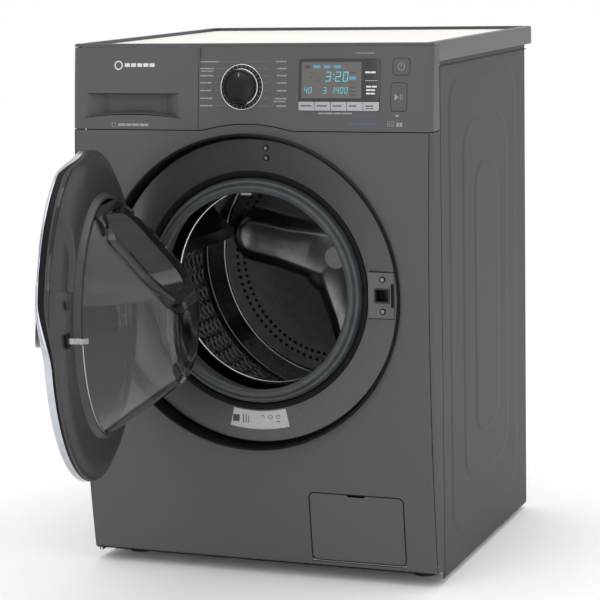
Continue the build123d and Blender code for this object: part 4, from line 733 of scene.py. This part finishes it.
# ---- Panel print --------------------------------------------------------------------
PRINT_LOW, PRINT_HIGH = -0.0002, 0.00022
programme_rows = (0.038, 0.0275, 0.0165, 0.0055, -0.0065, -0.0185, -0.0300)
left_words = ((6, 9, 5, 9), (7, 10, 4), (12, 9), (10, 8), (9, 9), (8, 12), (14, 7))
right_words = ((4, 9, 3), (2, 13), (5, 10), (2, 3, 9), (9, 6), (11, 7), (16,))
outlines = []
for height, spans in zip(programme_rows, left_words):
    outlines += words(DIAL_X - 0.0700, height, 0.0021, [w * MM for w in spans], gap=0.0009)
for height, spans in zip(programme_rows, right_words):
    total = sum(spans) * MM + 0.0009 * (len(spans) - 1)
    outlines += words(DIAL_X + 0.0740 - total, height, 0.0021, [w * MM for w in spans], gap=0.0009)
outlines += words(DIAL_X - 0.0690, 0.0235, 0.0018, [0.009, 0.011], gap=0.0009)
outlines += words(DIAL_X + 0.0530, -0.0228, 0.0018, [0.008, 0.011], gap=0.0009)
for row, height in enumerate(programme_rows):
    away = 0.0385 if row in (0, 6) else 0.0365
    for side in (-1, 1):
        reach = sqrt(max(0.0, away**2 - height**2)) if abs(height) < away else 0.010
        inner = DIAL_X + side * (reach + 0.0010)
        outer = DIAL_X + side * 0.0440
        outlines.append(rect(min(inner, outer), max(inner, outer), height + 0.0008, height + 0.0011))
add_plates(
    "programme_marks", outlines, on_panel, PRINT_LOW, PRINT_HIGH, "print_grey", "root")

badge = arc_strip(-0.2190, 0.8165, 0.0062, 0.0019, 0, 360, 32)
badge += words(-0.2080, 0.8140, 0.0056, [0.0085, 0.0085, 0.0085, 0.0085, 0.0085], gap=0.0022)
add_plates("maker_badge", badge, on_front, PRINT_LOW, 0.0006, "badge_silver", "drawer")
marks = arc_strip(-0.2270, 0.7235, 0.0034, 0.0007, 0, 360, 20)
marks += words(-0.2195, 0.7215, 0.0040, [0.013, 0.009, 0.012, 0.015], gap=0.0012)
add_plates("drawer_print", marks, on_front, PRINT_LOW, PRINT_HIGH, "print_grey", "drawer")
blue_print = words(0.1680, 0.7265, 0.0034, [0.012, 0.018, 0.010], gap=0.0013)
add_plates(
    "panel_print_blue", blue_print, on_front, PRINT_LOW, PRINT_HIGH, "print_blue", "root")
rating = digits("60", 0.2290, 0.7245, 0.0042, 0.0078, 0.0009)
rating += words(0.2440, 0.7245, 0.0060, [0.0042, 0.0042], gap=0.001)
add_plates("panel_print_size", rating, on_front, PRINT_LOW, PRINT_HIGH, "print_grey", "root")
under_keys = words(0.118, 0.7425, 0.0024, [0.009, 0.014, 0.012, 0.016], gap=0.0012)
above_window = words(0.178, 0.8340, 0.0012, [0.030], gap=0.001)
add_plates("panel_print_small", under_keys + above_window, on_front, PRINT_LOW, PRINT_HIGH, "print_grey",
           "root")

# ---- Display ------------------------------------------------------------------------
GLASS = 0.0006
field = [rounded(0.0905, 0.1875, -0.0165, 0.0385, 0.0012)]
add_plates("lcd_field", field, on_panel, GLASS - 0.0002, GLASS + 0.00012, "lcd_field", "root")
numbers = digits("3:20", 0.1290, 0.0085, 0.0085, 0.0155, 0.0017)
numbers += digits("40", 0.0945, -0.0095, 0.0050, 0.0098, 0.0011)
numbers += digits("3", 0.1255, -0.0095, 0.0050, 0.0098, 0.0011)
numbers += digits("1400", 0.1385, -0.0095, 0.0050, 0.0098, 0.0011)
add_plates("lcd_numbers", numbers, on_panel, GLASS, GLASS + 0.00030, "lit_cyan", "root")
pill_spans = ((0.109, 0.0125), (0.1265, 0.0105), (0.1425, 0.0120))
pills = [rounded(x, x + width, 0.0290, 0.0335, 0.0020) for x, width in pill_spans]
pills += [rounded(0.1680, 0.1790, 0.0115, 0.0165, 0.0018)]
add_plates("lcd_pills", pills, on_panel, GLASS, GLASS + 0.00028, "lit_blue", "root")
faint = [rect(0.1685, 0.1790, z, z + 0.0016) for z in (0.0215, 0.0060, -0.0010, -0.0070, -0.0120)]
faint += [rounded(0.0955, 0.1055, 0.0290, 0.0335, 0.0020)]
faint += [rect(0.1140, 0.1190, 0.0105, 0.0118), rect(0.1020, 0.1080, 0.0145, 0.0155)]
add_plates("lcd_faint", faint, on_panel, GLASS, GLASS + 0.00020, "print_dark", "root")
column = words(0.1935, 0.0215, 0.0026, [0.0075, 0.0085], gap=0.0008) + [rect(0.1935, 0.2130, 0.0100, 0.0105)]
for height, spans in ((0.0000, (8, 8)), (-0.0052, (7, 6)), (-0.0104, (6, 7))):
    column += words(0.1955, height, 0.0024, [w * MM for w in spans], gap=0.0009)
add_plates(
    "window_print", column, on_panel, GLASS - 0.0001, GLASS + 0.00022, "white_plastic",
    "root")
key_pitch = 0.0262
KEY_FACE = 0.0014
for number, spans in enumerate(((9, 8), (10, 6), (4, 9), (5, 6), (7, 5)), start=1):
    left = 0.086 + key_pitch * (number - 1) + 0.0038
    print_rows = words(left, -0.0292, 0.0020, [w * MM for w in spans], gap=0.0007)
    if number == 5:
        print_rows += words(left + 0.001, -0.0326, 0.0016, [0.006, 0.005], gap=0.0007)
    add_plates(
        f"key_print_{number}", print_rows, on_panel, KEY_FACE - 0.0001, KEY_FACE + 0.00018, "print_dark",
        f"option_key_{number}")
BUTTON_FACE = 0.0006
power = arc_strip(0.2508, 0.0315, 0.0052, 0.0009, 120, 420, 28) + [rect(0.25035, 0.25125, 0.0325, 0.0390)]
add_plates(
    "power_mark", power, on_panel, BUTTON_FACE - 0.0001, BUTTON_FACE + 0.0002, "print_grey",
    "power_key")
play = [[(0.2408, -0.0195), (0.2478, -0.0145), (0.2408, -0.0095)], rect(0.2498, 0.2507, -0.0190, -0.0100),
        rect(0.2524, 0.2533, -0.0190, -0.0100)]
add_plates(
    "start_mark", play, on_panel, BUTTON_FACE - 0.0001, BUTTON_FACE + 0.0002, "print_grey",
    "start_key")
lock_mark = rounded(0.2425, 0.2475, -0.0440, -0.0408, 0.0006)
add_plates("lock_mark", [lock_mark], on_panel, PRINT_LOW, PRINT_HIGH, "print_grey", "root")

# ---- Painted shade in the seams between the covers ----------------------------------
for side, name in ((1, "right"), (-1, "left")):
    seam_shade_strips = [rect(-0.2278, -0.2250, 0.0110, 0.8130), rect(-0.2278, 0.2740, 0.8118, 0.8134)]
    add_plates(f"{name}_seam_shade", seam_shade_strips, lambda a, b, w: Vector((side * (0.3000 + w), a, b)), -0.0004, 0.0003,
               "painted_shade_black", "root")
# Painted shade along the bottom edge of the front.
add_plates("front_lower_seam_shade", [rect(-0.2920, 0.2920, 0.0221, 0.0243)], on_front, -0.0003, 0.0003,
           "painted_shade_black", "root")
CORNER = 0.010               # round corner between the front and a side
HALF_WIDTH = 0.300
SKIN_START, SKIN_END = 0.0095, -0.2282


def on_corner(x, z, lift):
    """Point over the round corner beside the front."""
    past = max(0.0, abs(x) - HALF_WIDTH + CORNER)
    return Vector((x, front_y(z) + CORNER - sqrt(CORNER**2 - past**2) - lift, z))


# Dark lines along the front's corners: painted shade of a groove.
edge_lines, side_skins = [], []
for z in range(24, 714, 23):
    low, high = z * MM, (z + 23) * MM
    edge_lines += [rect(x, x + 0.0008, low, high) for x in (-0.2958, 0.2950)]
    foot, head = front_y(low) + SKIN_START, front_y(high) + SKIN_START
    side_skins.append([(foot, low), (SKIN_END, low), (SKIN_END, high), (head, high)])
add_plates(
    "front_edge_groove_shade", edge_lines, on_corner, -0.0003, 0.00015, "painted_shade_black", "root")
# Skins over the sides of the round corners, in the shaded side colour: painted shade.
for side, name in ((1, "right"), (-1, "left")):
    add_plates(
        f"{name}_edge_shade_skin", side_skins, lambda a, b, w: Vector((side * (HALF_WIDTH + w), a, b)),
        -0.0003, 0.00012, "side_paint_shaded", "root")


def outline_band(left, right, low, high, corner, width, parts=8):
    """Line round a rounded rectangle, in short lengths that follow a bowed face."""
    out = []
    for x, z, start in ((right - corner, high - corner, 0), (left + corner, high - corner, 90),
                        (left + corner, low + corner, 180), (right - corner, low + corner, 270)):
        out += arc_strip(x, z, corner, width, start, start + 90, 8)
    for z in (low, high):
        out.append(rect(left + corner, right - corner, z - width / 2, z + width / 2))
    length = (high - low - 2 * corner) / parts
    for x in (left, right):
        for k in range(parts):
            foot = low + corner + k * length
            out.append(rect(x - width / 2, x + width / 2, foot, foot + length))
    return out


# Painted shade in the gap round the service flap.
flap_line = outline_band(0.0882, 0.2448, 0.0328, 0.1450, 0.0090, 0.0015)
add_plates(
    "flap_gap_shade", flap_line, on_front, -0.0010, 0.0002, "painted_shade_black", "service_flap")
GRIP_MIDDLE, GRIP_HALF, GRIP_SAG = -0.1945, 0.0835, 0.0064
# Painted shadow along the grip's curved lower lip and its top edge.
shadow = []
for k in range(24):
    t0, t1 = -1 + k / 12, -1 + (k + 1) / 12
    quad = []
    for t, edge in ((t0, 0), (t1, 0), (t1, 1), (t0, 1)):
        thick = 0.0005 + 0.0011 * (1 - t * t)
        quad.append((GRIP_MIDDLE + GRIP_HALF * t, 0.7344 + GRIP_SAG * (1 - t * t) - thick * (1 - edge)))
    shadow.append(quad)
shadow.append(rect(-0.2740, -0.1150, 0.7718, 0.7727))
add_plates("grip_edge_shadow", shadow, on_front, -0.0002, 0.00025, "painted_shade_black", "drawer")

# ---- Painted shade in the channel round the door ring ------------------------------
channel = [
    (241.9, -250.3), (241.9, -256.4), (242.2, -256.6), (242.6, -250.9), (245.8, -250.9), (246.1, -284.0),
    (246.2, -286.6), (247.2, -287.5), (249.2, -287.3), (250.0, -286.0), (249.9, -284.6), (248.8, -285.9),
    (246.9, -286.2), (246.45, -284.0), (246.45, -250.3),
]
lathe("ring_channel_shade", in_metres(channel), "painted_shade_black", "root")

# ---- Door ring details --------------------------------------------------------------


def on_annulus(x, z, lift):
    """Point over the ring's sloping face."""
    radius = hypot(x, z - AXIS_Z)
    y = -0.255 - 0.0045 * (radius - 0.190) / 0.0515
    return Vector((x, y - lift, z))


def curved(left, right, low, high, steps=12):
    """Label outline that follows the ring: angles left to right, radii low to high."""
    bottom = [(left + (right - left) * s / steps, high) for s in range(steps + 1)]
    top = [(left + (right - left) * s / steps, low) for s in reversed(range(steps + 1))]
    return [(r * sin(a), AXIS_Z - r * cos(a)) for a, r in bottom + top]


label = [curved(-0.205, 0.255, 0.1925, 0.2215)]
add_plates("rating_label", label, on_annulus, -0.0001, 0.00025, "label_paper", "root")
blocks = [rect(-0.041, -0.030, 0.2515, 0.2625)]
blocks += [rect(-0.024 + 0.0045 * k, -0.0225 + 0.0045 * k, 0.2495, 0.2635) for k in range(3)]
for k, x in enumerate((-0.006, 0.006, 0.020, 0.033)):
    blocks += arc_strip(x + 0.003, 0.2590 + 0.001 * k, 0.0032, 0.0009, 0, 360, 12)
    blocks.append(rect(x, x + 0.007, 0.2505 + 0.001 * k, 0.2520 + 0.001 * k))
add_plates("rating_marks", blocks, on_annulus, 0.0001, 0.00045, "print_dark", "root")

screw_places = ((0.0270, 0.6885), (0.0270, 0.6730), (0.2150, 0.4885), (0.2150, 0.4384))
# Black rings round the screw heads and black crosses on them: painted shade in the gaps and the cross
# recesses.
cross, head_shade_rings = [], []
ARM_LONG, ARM_THICK = 0.0017, 0.00035       # half lengths of a screw cross
for x, z in screw_places:
    head_shade_rings += arc_strip(x, z, 0.0041, 0.0011, 0, 360, 20)
    cross.append(rect(x - ARM_LONG, x + ARM_LONG, z - ARM_THICK, z + ARM_THICK))
    cross.append(rect(x - ARM_THICK, x + ARM_THICK, z - ARM_LONG, z + ARM_LONG))


def on_screw(x, z, lift):
    front = -0.2616 if x > 0.1 else on_annulus(x, z, 0).y - 0.0019
    return Vector((x, front - lift, z))


add_plates("screw_rim_shade", head_shade_rings, on_screw, -0.0018, -0.0002, "painted_shade_black", "root")
add_plates("screw_cross_shade", cross, on_screw, -0.0006, 0.00015, "black_plastic", "root")
slot_edge = [rounded(0.2008, 0.2264, 0.4510, 0.4750, 0.0020)]
inner_edge = rounded(0.2032, 0.2240, 0.4536, 0.4724, 0.0012)
frame_parts = []
outer_edge = slot_edge[0]
for k in range(len(outer_edge)):
    after = (k + 1) % len(outer_edge)
    frame_parts.append([outer_edge[k], outer_edge[after], inner_edge[after], inner_edge[k]])
add_plates("lock_slot_frame", frame_parts, lambda x, z, w: Vector((x, -0.2598 - w, z)), -0.0050, 0.0006,
           "black_plastic", "root")
# Painted shade in the gaps round the latch plate and in its notch.
plate_seam = [
    rect(0.1916, 0.2330, 0.4992, 0.5000), rect(0.1916, 0.2330, 0.4268, 0.4276),
    rounded(0.2284, 0.2326, 0.4450, 0.4820, 0.0012),
]
add_plates("latch_seam_shade", plate_seam, lambda x, z, w: Vector((x, -0.2601 - w, z)), -0.0012, 0.0004,
           "painted_shade_black", "root")
tongue = [rect(0.2040, 0.2078, 0.4560, 0.4700)]
add_plates("lock_tongues", tongue, lambda x, z, w: Vector((x, -0.2450 - w, z)), -0.006, 0.0, "dial_black",
           "root")

# ---- Door details, drawn shut and swung open with the door --------------------------
INNER_FACE = -0.2625


def on_inner_ring(x, z, lift):
    """Point over the raised inner face of the shut door."""
    return Vector((x, INNER_FACE + lift, z))


SWELL_FROM, SWELL_TO = radians(-9), radians(79)      # where the door's edge swells round the small door
SWELL_RISE = 0.0120
NOTCH_EDGE, NOTCH_HALF = -0.2128, 0.0602                # clearance for the hinge in the rim
POCKET = (0.158, 0.226, 0.527, 0.652)                # pressed recess in the inner face, when shut


def fade(value, low, high):
    """Smooth step from 0 at low to 1 at high."""
    share = min(1.0, max(0.0, (value - low) / (high - low)))
    return share * share * (3 - 2 * share)


def swell(angle, radius):
    """How far the edge of the door stands out at a place, from 0 to 1."""
    angle = (angle + pi) % (2 * pi) - pi
    window = fade(angle, SWELL_FROM, SWELL_FROM + 0.42) * (1 - fade(angle, SWELL_TO - 0.26, SWELL_TO))
    return window * fade(radius, 0.196, 0.238)


def pocket_share(x, z):
    """Depth share of the pressed recess: 1 inside its rounded outline, 0 outside."""
    left, right_edge, low, high = POCKET
    corner = 0.016
    middle_x, middle_z = (left + right_edge) / 2, (low + high) / 2
    dx = max(0.0, abs(x - middle_x) - (right_edge - left) / 2 + corner)
    dz = max(0.0, abs(z - middle_z) - (high - low) / 2 + corner)
    inside = 1 - fade(hypot(dx, dz), corner - 0.0035, corner + 0.0025)
    radius = hypot(x, z - AXIS_Z)
    return inside * fade(radius, 0.1860, 0.1905) * (1 - fade(radius, 0.2290, 0.2350))


def add_door_band(name, profile, finish, edge_pull, segments=720):
    """Band round the shut door that follows its swollen edge and its recess."""
    points = []
    count = len(profile)
    for step in range(segments):
        angle = 2 * pi * step / segments
        for radius, y in profile:
            x, z = radius * cos(angle), AXIS_Z + radius * sin(angle)
            if abs(z - AXIS_Z) < NOTCH_HALF:
                x = max(x, NOTCH_EDGE)
            rise = swell(angle, radius)
            depth = SWELL_RISE * rise + 0.0085 * pocket_share(x, z)
            points.append((x, y - depth - edge_pull(y) * rise, z))
    faces = ring_faces(segments, count)
    return add_piece(name, points, faces, finish, "door", swing=door_swing)


inner_face = [
    (244.5, -275.4), (243.6, -274.4), (241.5, -273.8), (238.0, -272.4), (234.0, -270.2), (230.0, -267.8),
    (226.0, -265.8), (222.0, -264.3), (218.0, -263.3), (214.0, -262.8), (210.0, -262.5),
]
inner_face += [(208.5 - 1.5 * k, INNER_FACE * 1000) for k in range(17)]
inner_face += [
    (183.0, -262.5), (181.6, -260.8), (179.6, -255.6), (178.5, -253.4), (177.6, -253.0), (174.0, -253.0),
    (174.0, -255.5), (177.0, -255.5), (181.4, -265.0),
]
inner_face += [(184.5 + 1.5 * k, -265.0) for k in range(17)]
inner_face += [
    (212, -265.1), (220, -266.8), (230.5, -271.5), (238, -275.6), (241.5, -276.4), (241.5, -281.5),
    (242.8, -281.5), (242.8, -279.6), (244.5, -279.6),
]
ring_face = add_door_band(
    "door_inner_face", in_metres(inner_face), "door_face",
    lambda y: 0.0050 * fade(-y, 0.2765, 0.2790))
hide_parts("door_inner_ring")
edge_loop = [
    (243.2, -279.8), (244.9, -279.9), (245.6, -281.0), (245.7, -283.4), (245.2, -284.3), (244.9, -285.0),
    (245.3, -285.8), (245.7, -286.6), (245.6, -288.6), (244.4, -290.4), (243.2, -290.4),
]
chrome_edge = add_door_band(
    "door_chrome_edge", in_metres(edge_loop), "edge_chrome",
    lambda y: 0.0052 - 0.0060 * (-0.2798 - y) / 0.0106)
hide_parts("door_chrome_trim")
# Painted shade in the groove between the chrome edge and the inner face.
edge_groove_shade = [
    (243.0, -276.6), (244.7, -276.4), (245.0, -276.8), (245.0, -279.6), (244.6, -279.9), (243.0, -279.9),
]
add_door_band(
    "door_edge_shade", in_metres(edge_groove_shade), "painted_shade_black",
    lambda y: 0.0050 * fade(-y, 0.2765, 0.2790))
# Painted shade in the hook's recess.
well = [rect(0.2050, 0.2222, 0.4530, 0.4732)]
add_plates("hook_well_shade", well, on_inner_ring, -0.0009, 0.0010, "painted_shade_black", "door",
           swing=door_swing)
oval = [(0.2060 + 0.0035 * cos(a * pi / 12), 0.5120 + 0.0075 * sin(a * pi / 12)) for a in range(24)]
add_plates("door_plug", [oval], on_inner_ring, -0.0005, 0.0010, "black_plastic", "door",
           swing=door_swing)


def add_tube(name, path, width, finish, body, swing=None, sides=10):
    """Round bar along a list of points."""
    points, faces = [], []
    path = [Vector(p) for p in path]
    for k, centre in enumerate(path):
        ahead = path[min(k + 1, len(path) - 1)] - path[max(k - 1, 0)]
        across = ahead.cross(Vector((0, 1, 0))).normalized()
        upright = across.cross(ahead).normalized()
        for side in range(sides):
            turn = 2 * pi * side / sides
            points.append(centre + width * (cos(turn) * across + sin(turn) * upright))
    for k in range(len(path) - 1):
        for side in range(sides):
            after = (side + 1) % sides
            here, there = k * sides, (k + 1) * sides
            faces.append((here + side, here + after, there + after, there + side))
    faces.append(tuple(range(sides)))
    faces.append(tuple(reversed(range((len(path) - 1) * sides, len(path) * sides))))
    return add_piece(name, points, faces, finish, body, swing=swing)


neck = [(0.1744 * cos(radians(a)), -0.2524, AXIS_Z + 0.1744 * sin(radians(a))) for a in range(-88, -3, 2)]
add_tube("bowl_bright_rim", neck, 0.0007, "chrome_trim", "door", swing=door_swing)
